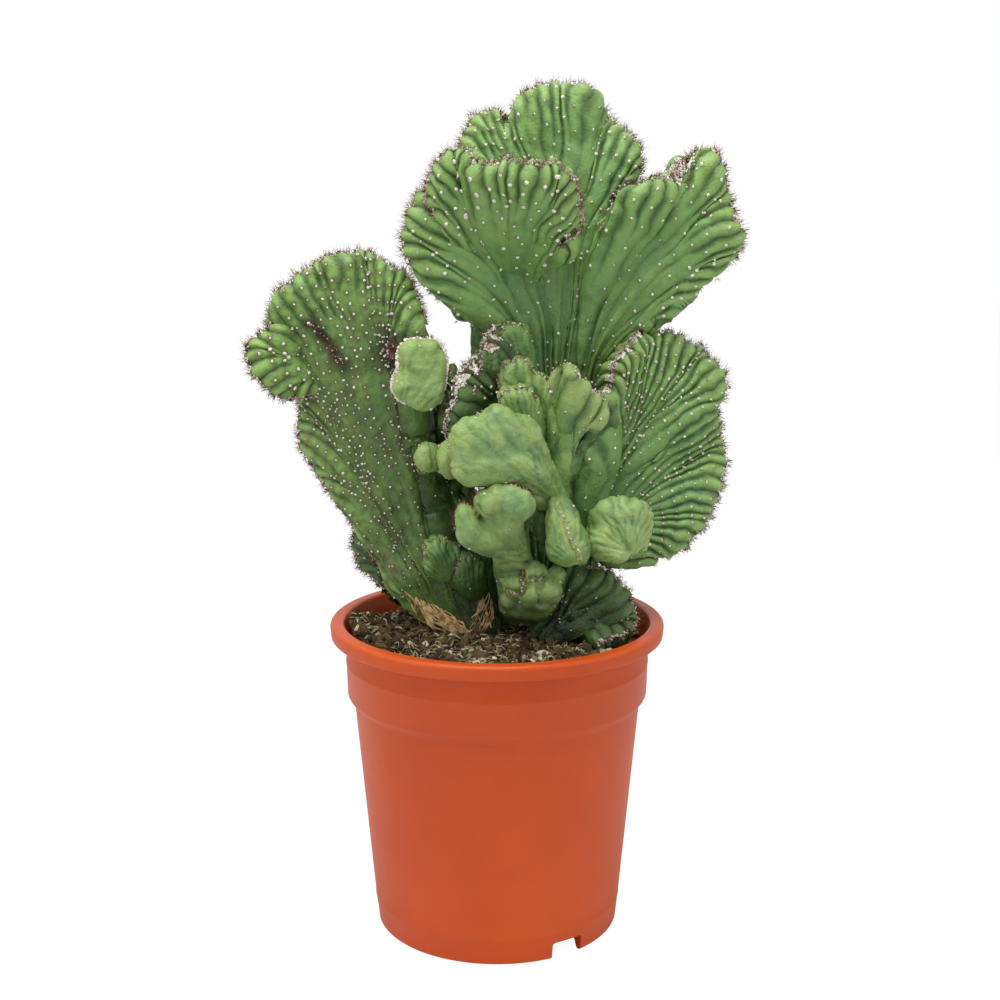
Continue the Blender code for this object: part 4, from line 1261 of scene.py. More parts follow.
# how the limbs run together, in millimetres
melting = {"stride": 2.2, "voxel": 0.7, "smoothing": 0.5, "rounds": 7}
padFinishes = {
    "front_pad": {
        "faces": 15000, "ripe": 0.25, "veins": (44, 0.9), "edgeWool": 0.2, "edgeSpines": 0.15, "seed": 24,
    },
    "forked_pad": {
        "faces": 13000, "ripe": 0.1, "veins": (38, 0.8), "dusk": [(12, -16, 191, 12.0)], "edgeWool": 0.5,
        "edgeSpines": 4.0, "spine": 3.4, "seed": 26,
    },
    "clam_pad": {
        "faces": 9000, "veins": (26, 1.2), "edgeWool": 1.2, "edgeSpines": 0.4, "tuft": 0.5, "ripe": -0.2,
        "seed": 27,
    },
    "folded_pad": {
        "faces": 9000, "veins": (26, 1.7), "edgeWool": 0.2, "edgeSpines": 0.1, "ripe": 0.9, "seed": 28,
    },
    "round_pad": {
        "faces": 8000, "veins": (26, 0.9), "edgeWool": 7.0, "edgeSpines": 3.0, "tuft": 1.0, "whiteEdge": True,
        "seed": 25,
    },
    "knob_crest": {
        "faces": 11000, "veins": (30, 0.5),
        "dusk": [(8, -24, 158, 20.0), (15, -18, 156, 14.0), (0, -24, 160, 14.0)], "ripe": 0.15,
        "edgeWool": 1.4, "edgeSpines": 4.0, "cork": [(12, -20, 163, 7.0)], "seed": 30,
    },
    "crest_lumps": {"faces": 9000, "skin": "shade", "edgeWool": 2.4, "edgeSpines": 2.5, "seed": 31},
    "inner_twin": {"edgeWool": 0.3, "edgeSpines": 0.5, "seed": 18},
    "outer_twin": {"faces": 4500, "edgeWool": 0.2, "edgeSpines": 0.3, "seed": 19},
    "upper_gap_bud": {"faces": 3000, "seed": 29},
    "lower_gap_bud": {"faces": 3000, "skin": "shade", "seed": 20},
    "left_shade_bud": {
        "faces": 5500, "skin": "old", "ripe": -0.2, "veins": (44, 1.4), "dusk": [(-12, -4, 178, 9.0)],
        "seed": 21,
    },
    "right_shade_bud": {"faces": 5500, "skin": "shade", "veins": (44, 1.2), "seed": 22},
    "finger_bud": {
        "faces": 5000, "skin": "old", "ripe": 0.0, "veins": (30, 0.8), "edgeWool": 2.0, "seed": 16,
    },
    "stem_bud": {"faces": 5000, "skin": "old", "ripe": -0.5, "veins": (36, 0.9), "seed": 17},
    "mid_lobe": {
        "faces": 10000, "skin": "fresh", "ripe": 0.2, "veins": (56, 1.0), "edgeWool": 2.2, "edgeSpines": 2.5,
        "seed": 14,
    },
    "low_lobe": {
        "faces": 8000, "skin": "fresh", "ripe": 0.2, "veins": (56, 1.0), "edgeWool": 2.4, "edgeSpines": 2.0,
        "seed": 15,
    },
}


def bodyOf(limbs):
    # rounded forms run along each limb and melt into one smooth closed skin
    shell = bmesh.new()
    for limb in limbs:
        length = sum(np.linalg.norm(np.diff(np.array(limb, float)[:, :3], axis=0), axis=1))
        for x, y, z, wide, deep, tall in smoothLine(limb, max(2, int(length / melting["stride"]))):
            place = Matrix.Translation(Vector((x, y, z)) * mm) @ Matrix.Diagonal(
                (wide * mm, deep * mm, tall * mm, 1),
            )
            bmesh.ops.create_icosphere(shell, subdivisions=3, radius=1.0, matrix=place)
    mesh = bpy.data.meshes.new("limbs")
    shell.to_mesh(mesh)
    shell.free()
    piece = link("limbs", mesh)
    melt = piece.modifiers.new("melt", "REMESH")
    melt.mode, melt.voxel_size = "VOXEL", melting["voxel"] * mm
    soft = piece.modifiers.new("soft", "SMOOTH")
    soft.factor, soft.iterations = melting["smoothing"], melting["rounds"]
    settled(piece)
    points = np.empty(len(piece.data.vertices) * 3, np.float32)
    piece.data.vertices.foreach_get("co", points)
    faces = [tuple(face.vertices) for face in piece.data.polygons]
    bpy.data.objects.remove(piece)
    return points.reshape(-1, 3).astype(float) / mm, faces


def normalsOf(mesh):
    ways = np.empty(len(mesh.vertices) * 3, np.float32)
    mesh.vertices.foreach_get("normal", ways)
    return ways.reshape(-1, 3).astype(float)


def snapped(line, tree, count):
    # evenly spaced points of a smooth line, moved to the skin, with the way the skin faces there
    spots, ways = [], []
    for point in smoothLine(line, count):
        spot, way, _, _ = tree.find_nearest(Vector(point))
        spots.append(spot)
        ways.append(way)
    return np.array(spots), np.array(ways)


def growPad(name, pad, look):
    low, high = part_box(pad.get("node", name))
    origin = np.array([(low.x + high.x) / 2, (low.y + high.y) / 2, low.z]) / mm

    def moved(line):
        return [tuple(np.array(p[:3], float) + origin) + tuple(p[3:]) for p in line]

    points, faces = bodyOf([moved(limb) for limb in pad["limbs"]])
    mesh = outwards(meshFrom(name, points, faces))
    tree = BVHTree.FromPolygons([Vector(p) for p in points], faces)
    deep, wide = pad["crease"]
    groove = np.zeros(len(points))
    if "creases" in pad:
        lines = [snapped(moved(line), tree, 60)[0] for line in pad["creases"]]
        groove = np.exp(-((farFrom(points, lines) / wide) ** 2))
    edges = [moved(line) for line in pad["edge"]]
    rims = [snapped(line, tree, 120) for line in edges]
    toEdge = farFrom(points, [spots for spots, _ in rims])
    facing = normalsOf(mesh)
    seed = look["seed"]
    rough = 0.4 * wobble(points, 13, seed) + 0.14 * wobble(points, 4, seed + 1)
    notch = 0.35 * np.exp(-((toEdge / 0.9) ** 2))
    count, height = look["veins"]
    root = moved([pad.get("root", pad["limbs"][0][0])])[0][:3]
    across, up = (points - root)[:, (0, 2)].T
    turn = np.arctan2(across, up) / (2 * np.pi)
    veins, tone = ribField(turn * count + 0.3 * wobble(points, 12, seed + 3), 0.0 * across, seed + 4)
    fade = (0.45 + 0.55 * np.exp(-toEdge / 9)) * np.clip(np.hypot(across, up) / 14, 0, 1)
    points = points + facing * (rough - deep * groove - notch + height * fade * (veins - 0.7))[:, None]
    # rib is low in the creases and between the veins, where the skin takes painted shade; young, with the
    # pad's base lightness, is partly painted light and shade
    fields = {
        "rib": 1 - 0.2 * groove - 0.32 * height * fade * (1 - veins),
        "edge": np.exp(-toEdge / 5), "young": look["ripe"] + 0.5 * np.exp(-toEdge / 14),
        "streak": 0.15 + 0.5 * wobble(points, 16, seed + 2) + 0.25 * tone,
        "cork": spreadOf(look["cork"], points), "dusk": spreadOf(look["dusk"], points),
    }
    bpy.data.meshes.remove(mesh)
    piece = thinned(link(name + "_skin", outwards(meshFrom(name, points, faces, fields))), look["faces"])

    # a few areoles on the front, well apart and off the edge
    spots = []
    gap = 0.63 * math.sqrt(len(points) * 0.5 / max(pad["dots"], 1))
    for index in np.random.default_rng(seed + 50).permutation(len(points)):
        if len(spots) >= pad["dots"]:
            break
        free = facing[index][1] < 0.2 and toEdge[index] > 3
        if free and all(np.linalg.norm(points[index] - points[other]) > gap for other in spots):
            spots.append(index)
    lines = []
    for line in edges:
        run = np.linalg.norm(np.diff(np.array(line)[:, :3], axis=0), axis=1).sum()
        onLine, ways = snapped(line, tree, 120)
        lines.append((onLine, ways, np.linspace(0, run, 120)))
    below = np.full(len(spots), 20.0)
    return piece, {
        "spots": points[spots], "ways": facing[spots], "below": below, "lines": lines, "look": look,
    }


for name, pad in pads.items():
    grow(name, pad, {**padCommon, **padFinishes[name]}, growPad)


# geometry trees: wool and spines on the skin, loose bits on the mix, dry strands at the foot
def startTree(name, inputs):
    tree = bpy.data.node_groups.new(name, "GeometryNodeTree")
    tree.interface.new_socket("Geometry", in_out="INPUT", socket_type="NodeSocketGeometry")
    for label, kind in inputs.items():
        tree.interface.new_socket(label, in_out="INPUT", socket_type="NodeSocket" + kind)
    tree.interface.new_socket("Geometry", in_out="OUTPUT", socket_type="NodeSocketGeometry")
    return tree, addNode(tree, "NodeGroupInput").outputs


def endTree(tree, geometry, material):
    real = addNode(tree, "GeometryNodeRealizeInstances", {"Geometry": geometry})
    smooth = addNode(tree, "GeometryNodeSetShadeSmooth", {"Geometry": real.outputs[0]})
    done = addNode(tree, "GeometryNodeSetMaterial", {"Geometry": smooth.outputs[0], "Material": material})
    addNode(tree, "NodeGroupOutput", {"Geometry": done.outputs[0]})
    return tree


def grownBy(piece, tree, inputs):
    modifier = piece.modifiers.new(tree.name, "NODES")
    modifier.node_group = tree
    for item in tree.interface.items_tree:
        if item.in_out == "INPUT" and item.name in inputs:
            modifier[item.identifier] = inputs[item.name]
    return settled(piece)


def pointsPiece(name, places, facing, **fields):
    mesh = meshFrom(name, places, [], fields)
    ways = mesh.attributes.new("facing", "FLOAT_VECTOR", "POINT").data
    ways.foreach_set("vector", np.asarray(facing, np.float32).ravel())
    return link(name, mesh)


def named(tree, name, kind="FLOAT"):
    node = addNode(tree, "GeometryNodeInputNamedAttribute", data_type=kind)
    node.inputs["Name"].default_value = name
    return node.outputs["Attribute"]


def woolTree(name, ball, **shape):
    # a tuft is a flattened irregular ball, turned to face out of the skin
    inputs = {"Tuft Radius": "Float", "Flatness": "Float", "Seed": "Int", "Wool": "Material"}
    tree, given = startTree(name, inputs)
    ball = addNode(tree, ball, {"Radius": given["Tuft Radius"], **shape})
    facing = addNode(
        tree, "FunctionNodeAlignRotationToVector", {"Vector": named(tree, "facing", "FLOAT_VECTOR")},
        axis="Z",
    )
    spin = addNode(
        tree, "FunctionNodeRandomValue", {"Max": (0.0, 0.0, 6.28), "Seed": given["Seed"]},
        data_type="FLOAT_VECTOR",
    )
    spin.inputs["Min"].default_value = (0.0, 0.0, 0.0)
    turned = addNode(
        tree, "FunctionNodeRotateRotation", {"Rotation": facing.outputs[0], "Rotate By": spin.outputs[0]},
        rotation_space="LOCAL",
    )
    size = named(tree, "size")
    depth = addNode(tree, "ShaderNodeMath", {0: size, 1: given["Flatness"]}, operation="MULTIPLY")
    uneven = addNode(
        tree, "FunctionNodeRandomValue", {2: 0.7, 3: 1.35, "Seed": given["Seed"]}, data_type="FLOAT",
    )
    wide = addNode(tree, "ShaderNodeMath", {0: size, 1: uneven.outputs[1]}, operation="MULTIPLY")
    scale = addNode(tree, "ShaderNodeCombineXYZ", {0: wide.outputs[0], 1: size, 2: depth.outputs[0]})
    made = addNode(
        tree, "GeometryNodeInstanceOnPoints",
        {
            "Points": given["Geometry"], "Instance": ball.outputs[0], "Rotation": turned.outputs[0],
            "Scale": scale.outputs[0],
        },
    )
    return endTree(tree, made.outputs[0], given["Wool"])


def spineTree():
    # a spine is a thin three-sided cone as long as its point says
    inputs = {"Thickness": "Float", "Spine": "Material"}
    tree, given = startTree("spines", inputs)
    cone = addNode(
        tree, "GeometryNodeMeshCone",
        {
            "Vertices": 3, "Side Segments": 1, "Radius Top": 0.0, "Radius Bottom": given["Thickness"],
            "Depth": 0.001,
        },
        fill_type="NGON",
    )
    facing = addNode(
        tree, "FunctionNodeAlignRotationToVector", {"Vector": named(tree, "facing", "FLOAT_VECTOR")},
        axis="Z",
    )
    scale = addNode(tree, "ShaderNodeCombineXYZ", {0: 1.0, 1: 1.0, 2: named(tree, "size")})
    made = addNode(
        tree, "GeometryNodeInstanceOnPoints",
        {
            "Points": given["Geometry"], "Instance": cone.outputs[0], "Rotation": facing.outputs[0],
            "Scale": scale.outputs[0],
        },
    )
    return endTree(tree, made.outputs[0], given["Spine"])


def sprinkleTree():
    # loose bits lie on the top of the mix, turned and tilted at random
    inputs = {
        "Bits": "Collection", "Density": "Float", "Smallest": "Float", "Largest": "Float", "Tilt": "Float",
        "Lift": "Float", "Seed": "Int", "Finish": "Material",
    }
    tree, given = startTree("looseBits", inputs)
    top = addNode(
        tree, "FunctionNodeCompare", {0: named(tree, "bed"), 1: 0.5}, data_type="FLOAT",
        operation="GREATER_THAN",
    )
    spread = addNode(
        tree, "GeometryNodeDistributePointsOnFaces",
        {
            "Mesh": given["Geometry"], "Selection": top.outputs[0], "Density": given["Density"],
            "Seed": given["Seed"],
        },
    )
    back = addNode(tree, "ShaderNodeMath", {0: given["Tilt"], 1: -1.0}, operation="MULTIPLY")
    least = addNode(tree, "ShaderNodeCombineXYZ", {0: back.outputs[0], 1: back.outputs[0], 2: 0.0})
    most = addNode(tree, "ShaderNodeCombineXYZ", {0: given["Tilt"], 1: given["Tilt"], 2: 6.28})
    lean = addNode(
        tree, "FunctionNodeRandomValue", {0: least.outputs[0], 1: most.outputs[0], "Seed": given["Seed"]},
        data_type="FLOAT_VECTOR",
    )
    turned = addNode(
        tree, "FunctionNodeRotateRotation",
        {"Rotation": spread.outputs["Rotation"], "Rotate By": lean.outputs[0]}, rotation_space="LOCAL",
    )
    size = addNode(
        tree, "FunctionNodeRandomValue", {2: given["Smallest"], 3: given["Largest"], "Seed": given["Seed"]},
        data_type="FLOAT",
    )
    bits = addNode(
        tree, "GeometryNodeCollectionInfo",
        {"Collection": given["Bits"], "Separate Children": True, "Reset Children": True},
    )
    pick = addNode(tree, "FunctionNodeRandomValue", {4: 0, 5: 50, "Seed": given["Seed"]}, data_type="INT")
    up = addNode(tree, "ShaderNodeCombineXYZ", {2: given["Lift"]})
    raised = addNode(
        tree, "GeometryNodeSetPosition", {"Geometry": spread.outputs["Points"], "Offset": up.outputs[0]},
    )
    made = addNode(
        tree, "GeometryNodeInstanceOnPoints",
        {
            "Points": raised.outputs[0], "Instance": bits.outputs[0], "Pick Instance": True,
            "Instance Index": pick.outputs[2], "Rotation": turned.outputs[0], "Scale": size.outputs[1],
        },
    )
    tint = addNode(
        tree, "FunctionNodeRandomValue", {2: 0.0, 3: 1.0, "Seed": given["Seed"]}, data_type="FLOAT",
    )
    kept = addNode(
        tree, "GeometryNodeStoreNamedAttribute",
        {"Geometry": made.outputs[0], "Name": "tint", "Value": tint.outputs[1]}, data_type="FLOAT",
        domain="INSTANCE",
    )
    return endTree(tree, kept.outputs[0], given["Finish"])


def strandTree():
    # a strand is a tapering ribbon-like thread along each chain of edges
    inputs = {"Thickness": "Float", "Finish": "Material"}
    tree, given = startTree("strands", inputs)
    line = addNode(tree, "GeometryNodeMeshToCurve", {"Mesh": given["Geometry"]})
    along = addNode(tree, "GeometryNodeSplineParameter").outputs["Factor"]
    ends = addNode(
        tree, "ShaderNodeMapRange",
        {"Value": along, "From Min": 0.55, "From Max": 1.0, "To Min": 1.0, "To Max": 0.25},
    )
    thick = addNode(tree, "ShaderNodeMath", {0: ends.outputs[0], 1: given["Thickness"]}, operation="MULTIPLY")
    ring = addNode(tree, "GeometryNodeCurvePrimitiveCircle", {"Resolution": 4, "Radius": 1.0})
    tube = addNode(
        tree, "GeometryNodeCurveToMesh",
        {
            "Curve": line.outputs[0], "Profile Curve": ring.outputs[0], "Fill Caps": True,
            "Scale": thick.outputs[0],
        },
    )
    return endTree(tree, tube.outputs[0], given["Finish"])


# areoles and the woolly, spiny growing edges
def makeMottled(name, size, detail, stops, **constants):
    # a finish whose colour wanders between the stops over patches of that many millimetres
    material, tree, shader = newMaterial(name, **constants)
    place = addNode(tree, "ShaderNodeTexCoord").outputs["Object"]
    mottle = addNode(
        tree, "ShaderNodeTexNoise", {"Vector": place, "Scale": 1 / (size * mm), "Detail": detail},
    )
    tone = addNode(tree, "ShaderNodeValToRGB", {0: mottle.outputs["Fac"]}, stops=stops)
    tree.links.new(tone.outputs[0], shader.inputs["Base Color"])
    return material


# felted plant hair: matt and creamy with a soft sheen, and browner where it is old along the edges
hair = {"Roughness": 0.95, "Sheen_Weight": 0.4, "Sheen_Roughness": 0.5}
areoleWool = makeMottled("felt", 2.1, 3.0, [(0.38, "#efe6d6"), (0.6, "#fffbf2")], **hair)
edgeWool = makeMottled("edgeFelt", 2.1, 3.0, [(0.38, "#a98673"), (0.6, "#f7f0e4")], **hair)
# dry horny spines: half glossy, red-brown and paler here and there
spineTones = [(0.4, "#54281f"), (0.58, "#8d5c48"), (0.72, "#c9b199")]
spineFinish = makeMottled("dryHornySpine", 4.0, 2.0, spineTones, Roughness=0.5)
wools = woolTree("areoleTufts", "GeometryNodeMeshIcoSphere", Subdivisions=1)
felts = woolTree("feltTufts", "GeometryNodeMeshUVSphere", Segments=5, Rings=2)
spines = spineTree()


# tufts are a millimetre in radius before their own size, flatness is their depth, and a bristle and a needle
# have a radius at their foot, in millimetres
coats = {
    "tuft": 1.0, "areoleFlatness": 0.62, "edgeFlatness": 0.8, "thatchFlatness": 0.9, "bristle": 0.17,
    "needle": 0.22,
}


def around(ways, spread, chance):
    return unit(ways + spread * unit(chance.normal(size=ways.shape)))


def coat(name, places, ways, sizes, tree, **inputs):
    piece = pointsPiece(name, places, ways, size=sizes)
    grownBy(piece, tree, {socket.replace("_", " "): value for socket, value in inputs.items()})
    return onBody(piece, "stem_skin")


def tufted(name, places, ways, sizes, tree, flatness, seed, wool):
    radius = coats["tuft"] * mm
    return coat(
        name, places, ways, sizes, tree, Tuft_Radius=radius, Flatness=coats[flatness], Seed=seed, Wool=wool,
    )


def spined(name, places, ways, sizes, thickness):
    return coat(name, places, ways, sizes, spines, Thickness=coats[thickness] * mm, Spine=spineFinish)


def dress(name, growth):
    look, chance = growth["look"], np.random.default_rng(growth["look"]["seed"] + 100)
    spots, ways, below = growth["spots"], growth["ways"], growth["below"]
    spots = spots + chance.normal(scale=0.35, size=spots.shape)
    size = look["wool"] * chance.uniform(0.6, 1.15, len(spots)) * (0.72 + 0.28 * np.exp(-below / 50))
    size = size * np.interp(spots[:, 2], (165, 250), (0.68, 1.0))
    tilted = around(ways, 0.25, chance)
    tufts = tufted(
        name + "_wool", spots + ways * 0.25, tilted, size, wools, "areoleFlatness", look["seed"], areoleWool,
    )

    # the growing edges: a felted seam with bristles standing off it
    starts, towards, seams, seamWays = [], [], [], []
    for edge, edgeWay, run in growth["lines"]:
        for share, places, facings in (
            (look["edgeWool"], seams, seamWays), (look["edgeSpines"], starts, towards),
        ):
            where = chance.uniform(0, run[-1], int(run[-1] * share))
            places.append(np.stack([np.interp(where, run, edge[:, k]) for k in range(3)], axis=1))
            facings.append(unit(np.stack([np.interp(where, run, edgeWay[:, k]) for k in range(3)], axis=1)))
    seams, seamWays = np.vstack(seams), np.vstack(seamWays)
    sizes = look["tuft"] * chance.uniform(0.5, 1.15, len(seams))
    seams, tilted = seams + chance.normal(scale=look["seam"], size=seams.shape), around(seamWays, 0.4, chance)
    finish = areoleWool if look["whiteEdge"] else edgeWool
    felt = tufted(name + "_felt", seams, tilted, sizes, felts, "edgeFlatness", look["seed"] + 1, finish)

    lengths = [look["spine"] * chance.uniform(0.5, 1.25, len(line)) for line in starts]
    starts = [line + chance.normal(scale=look["seam"], size=line.shape) for line in starts]
    towards = [around(line, 0.75, chance) for line in towards]
    near = np.exp(-below / 30)
    for _ in range(6):
        has = chance.uniform(size=len(spots)) < look["areoleSpines"] * (0.45 + 0.5 * near)
        starts.append(spots[has])
        towards.append(around(ways[has], 0.95, chance))
        lengths.append(look["spine"] * (0.45 + 0.5 * near[has]) * chance.uniform(0.5, 1.1, has.sum()))
    bristles = spined(
        name + "_spines", np.vstack(starts), np.vstack(towards), np.concatenate(lengths), "bristle",
    )
    return sum(len(piece.data.polygons) for piece in (tufts, felt, bristles))


for name, growth in grown.items():
    print("areoles and edge:", name, dress(name, growth), "faces")

# thick wool and spiny hollows: the piece they grow on, their line in millimetres in the shared frame, how
# many tufts and spines there are, their size and length, and how far they stray from the line
thatches = {
    "innerEdge": {
        "on": "right_crest", "seed": 201, "stray": 1.0,
        "tufts": 1500, "size": 0.55, "spines": 110, "length": 2.8,
        "line": [
            (70, -6, 307), (63, -10, 303), (58, -14, 297), (55, -14, 288), (53, -12, 279), (52, -10, 273),
        ],
    },
    "sideSeam": {
        "on": "edge_crest", "seed": 202, "stray": 1.2,
        "tufts": 1900, "size": 0.68, "spines": 170, "length": 4.2,
        "line": [
            (3, -16, 311), (-1, -20, 306), (-6, -24, 301), (-11, -26, 296), (-16, -26, 289), (-19, -24, 284),
        ],
    },
    "topMound": {
        "on": "upper_crest", "seed": 203, "stray": 2.0,
        "tufts": 520, "size": 0.75, "spines": 220, "length": 4.2,
        "line": [(84, -4, 381), (87, -4, 385), (91, -4, 389)],
    },
    "topCrease": {
        "on": "upper_crest", "seed": 204, "stray": 1.5,
        "tufts": 60, "size": 0.8, "spines": 480, "length": 3.6,
        "line": [(68, -2, 379), (63, 4, 376), (59, 8, 369), (58, 4, 361), (57, 0, 353)],
    },
    "sideHollow": {
        "on": "left_crest", "seed": 205, "stray": 2.2,
        "tufts": 20, "size": 0.6, "spines": 320, "length": 3.4,
        "line": [(-52, -12, 302), (-50, -12, 298), (-49, -12, 293)],
    },
    "midHollow": {
        "on": "centre_fan", "seed": 207, "stray": 2.0,
        "tufts": 10, "size": 0.5, "spines": 220, "length": 3.4,
        "line": [(18, -8, 268), (22, -10, 265), (25, -10, 260)],
    },
    "lobeCrease": {
        "on": "left_crest", "seed": 206, "stray": 1.0,
        "tufts": 16, "size": 0.5, "spines": 300, "length": 2.2,
        "line": [(-92, -12, 314), (-86, -12, 308), (-81, -12, 301), (-76, -12, 292)],
    },
}


def skinTree(piece):
    mesh = piece.data
    return BVHTree.FromPolygons(
        [point.co / mm for point in mesh.vertices], [face.vertices for face in mesh.polygons],
    )


trees = {name: skinTree(pieces[name]) for name in sorted({patch["on"] for patch in thatches.values()})}


def thatch(name, patch):
    chance = np.random.default_rng(patch["seed"])
    line = smoothLine(patch["line"], 80)

    def scattered(count):
        near = line[chance.integers(0, len(line), count)] + chance.normal(
            scale=patch["stray"], size=(count, 3),
        )
        hits = [trees[patch["on"]].find_nearest(Vector(point)) for point in near]
        return np.array([hit[0] for hit in hits]), np.array([hit[1] for hit in hits])

    spots, ways = scattered(patch["tufts"])
    tilted, sizes = around(ways, 0.5, chance), patch["size"] * chance.uniform(0.5, 1.2, len(spots))
    tufted(
        name + "_wool", spots + 0.3 * ways, tilted, sizes, felts, "thatchFlatness", patch["seed"], areoleWool,
    )
    spots, ways = scattered(patch["spines"])
    tilted, lengths = around(ways, 0.8, chance), patch["length"] * chance.uniform(0.5, 1.2, len(spots))
    spined(name + "_spines", spots, tilted, lengths, "needle")


for name, patch in thatches.items():
    thatch(name, patch)
print("thatch on", ", ".join(trees))

# dry fibrous strips split from the foot of the left stem and fan out to the mix
fibres = {
    "bundles": [  # where the strips leave the stem, where they end, and how many there are
        (
            [(-49, -8, 180), (-42, -10, 175), (-35, -11, 172), (-28, -12, 170)],
            [(-42, -16, 154), (-34, -20, 152), (-24, -22, 152), (-9, -21, 152)], 110,
        ),
        (
            [(-8, -10, 175), (-3, -10, 177), (2, -10, 173)],
            [(-13, -18, 158), (-7, -20, 156), (-2, -19, 157), (3, -18, 159)], 50,
        ),
    ],
    "thickness": 0.25,
    "links": 6,  # straight lengths in a strip
    "seed": 211,
}
# dried stem tissue: straw-coloured and matt, darker towards brown here and there
fibreFinish = makeMottled("dryFibre_stem", 3.0, 2.0, [(0.34, "#a67c3c"), (0.6, "#ecd096")], Roughness=0.8)


def splitFibres():
    chance = np.random.default_rng(fibres["seed"])
    points, edges = [], []
    for tops, feet, count in fibres["bundles"]:
        tops, feet = smoothLine(tops, 101), smoothLine(feet, 101)
        for share in chance.uniform(0.05, 0.95, count):
            top, foot = (
                line[int(100 * np.clip(share + chance.normal(scale=0.05), 0, 1))] for line in (tops, feet)
            )
            top = top + (foot - top) * chance.uniform(0.0, 0.5)
            first, curl = len(points), chance.uniform(0.3, 1.0)
            for step in np.linspace(0, 1, fibres["links"] + 1):
                spot, way, _, _ = trees["left_crest"].find_nearest(Vector(top + (foot - top) * step))
                points.append(np.array(spot) + np.array(way) * (0.3 + 2.4 * step**2 * curl))
            edges += [(first + k, first + k + 1) for k in range(fibres["links"])]
    mesh = bpy.data.meshes.new("stemFibres")
    mesh.from_pydata((np.array(points) * mm).tolist(), edges, [])
    piece = link("stemFibres", mesh)
    grownBy(piece, strandTree(), {"Thickness": fibres["thickness"] * mm, "Finish": fibreFinish})
    onBody(piece, "stem_skin")
    return piece


print("fibres:", len(splitFibres().data.polygons), "faces")

# the potting mix: a peat bed with crumbs, bark curls, dry fibres and a few white grains
mixLow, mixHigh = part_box("potting_mix")
mix = {
    "level": mixHigh.z / mm - 2.6,
    "radius": mixHigh.x / mm - 0.2,
    "foot": mixLow.z / mm,
    "footRadius": 58.0,
    "rings": 46,
    "sides": 200,
    "mounds": [  # place, height and width of the heaps and hollows
        (-64, -20, 7.5, 22), (-72, 0, 6.0, 14), (-48, 44, -4.0, 20), (66, 10, -8.0, 20), (44, 50, -4.0, 22),
        (-10, -62, 3.0, 26), (30, -58, 2.5, 20), (-30, -20, 2.0, 14), (8, -30, 2.5, 12),
    ],
}


def bedHeight(x, y):
    flat = np.stack([x, y, 0 * x], axis=-1)
    height = mix["level"] + 0.9 * wobble(flat, 19, 41) + 0.7 * wobble(flat, 6.5, 42)
    height = height + 0.35 * wobble(flat, 2.8, 43)
    for mx, my, rise, width in mix["mounds"]:
        height = height + rise * np.exp(-((x - mx) ** 2 + (y - my) ** 2) / width**2)
    return height


def makeBed():
    rings, sides = mix["rings"], mix["sides"]
    radius = np.linspace(0, mix["radius"], rings + 1)[1:]
    turn = np.linspace(0, 2 * np.pi, sides, endpoint=False)
    x, y = radius[:, None] * np.cos(turn), radius[:, None] * np.sin(turn)
    top = np.stack([x, y, bedHeight(x, y)], axis=-1).reshape(-1, 3)
    foot = mix["footRadius"]
    wall = np.stack([foot * np.cos(turn), foot * np.sin(turn), np.full(sides, mix["foot"])], axis=-1)
    centre = [(0, 0, float(bedHeight(np.array(0.0), np.array(0.0)))), (0, 0, mix["foot"])]
    points = np.vstack([top, wall, centre])
    faces, last = [], rings * sides
    for side in range(sides):
        after = (side + 1) % sides
        faces.append((side, after, last + sides))
        faces += [
            (r * sides + side, (r + 1) * sides + side, (r + 1) * sides + after, r * sides + after)
            for r in range(rings)
        ]
        faces.append((last + side, last + sides + 1, last + after))
    bed = np.concatenate([np.ones(rings * sides - sides), np.zeros(2 * sides), [1, 0]])
    piece = link("peatBed", outwards(meshFrom("peatBed", points, faces, {"bed": bed})))
    piece.data.shade_smooth()
    return piece


def makePeat(name, dark, pale, patch, tinted=False):
    # damp peat and bark: matt and fibrous brown, dark where the fine bump dips, partly its own dark grains
    # and partly painted shade in the hollows; in other colours, bits and chips
    material, tree, shader = newMaterial(name, Roughness=0.95)
    shader.inputs["Specular IOR Level"].default_value = 0.25
    place = addNode(tree, "ShaderNodeTexCoord").outputs["Object"]
    grit = addNode(
        tree, "ShaderNodeTexNoise", {"Vector": place, "Scale": 1 / 0.0022, "Detail": 6.0, "Roughness": 0.7},
    ).outputs["Fac"]
    broad = addNode(
        tree, "ShaderNodeTexNoise", {"Vector": place, "Scale": 1 / 0.012, "Detail": 2.0},
    ).outputs["Fac"]
    # the same grit is the bump's height, so its dark end is painted shade in the dips
    tone = addNode(tree, "ShaderNodeValToRGB", {0: grit}, stops=[(0.35, dark), (0.72, pale)]).outputs[0]
    share = addNode(
        tree, "ShaderNodeMapRange", {"Value": broad, "From Min": 0.5, "From Max": 0.66, "To Max": 0.6},
    ).outputs[0]
    colour = addNode(
        tree, "ShaderNodeMix", {"Factor": share, 6: tone, 7: linear(patch)}, data_type="RGBA",
    ).outputs[2]
    if tinted:
        tint = addNode(tree, "ShaderNodeAttribute", attribute_name="tint").outputs["Fac"]
        each = addNode(
            tree, "ShaderNodeValToRGB", {0: tint}, stops=[(0.0, dark), (1.0, pale), (0.55, patch)],
        ).outputs[0]
        colour = addNode(
            tree, "ShaderNodeMix", {"Factor": 0.7, 6: colour, 7: each}, data_type="RGBA",
        ).outputs[2]
    tree.links.new(colour, shader.inputs["Base Color"])
    bump = addNode(tree, "ShaderNodeBump", {"Strength": 0.8, "Distance": 0.0012, "Height": grit})
    tree.links.new(bump.outputs[0], shader.inputs["Normal"])
    return material


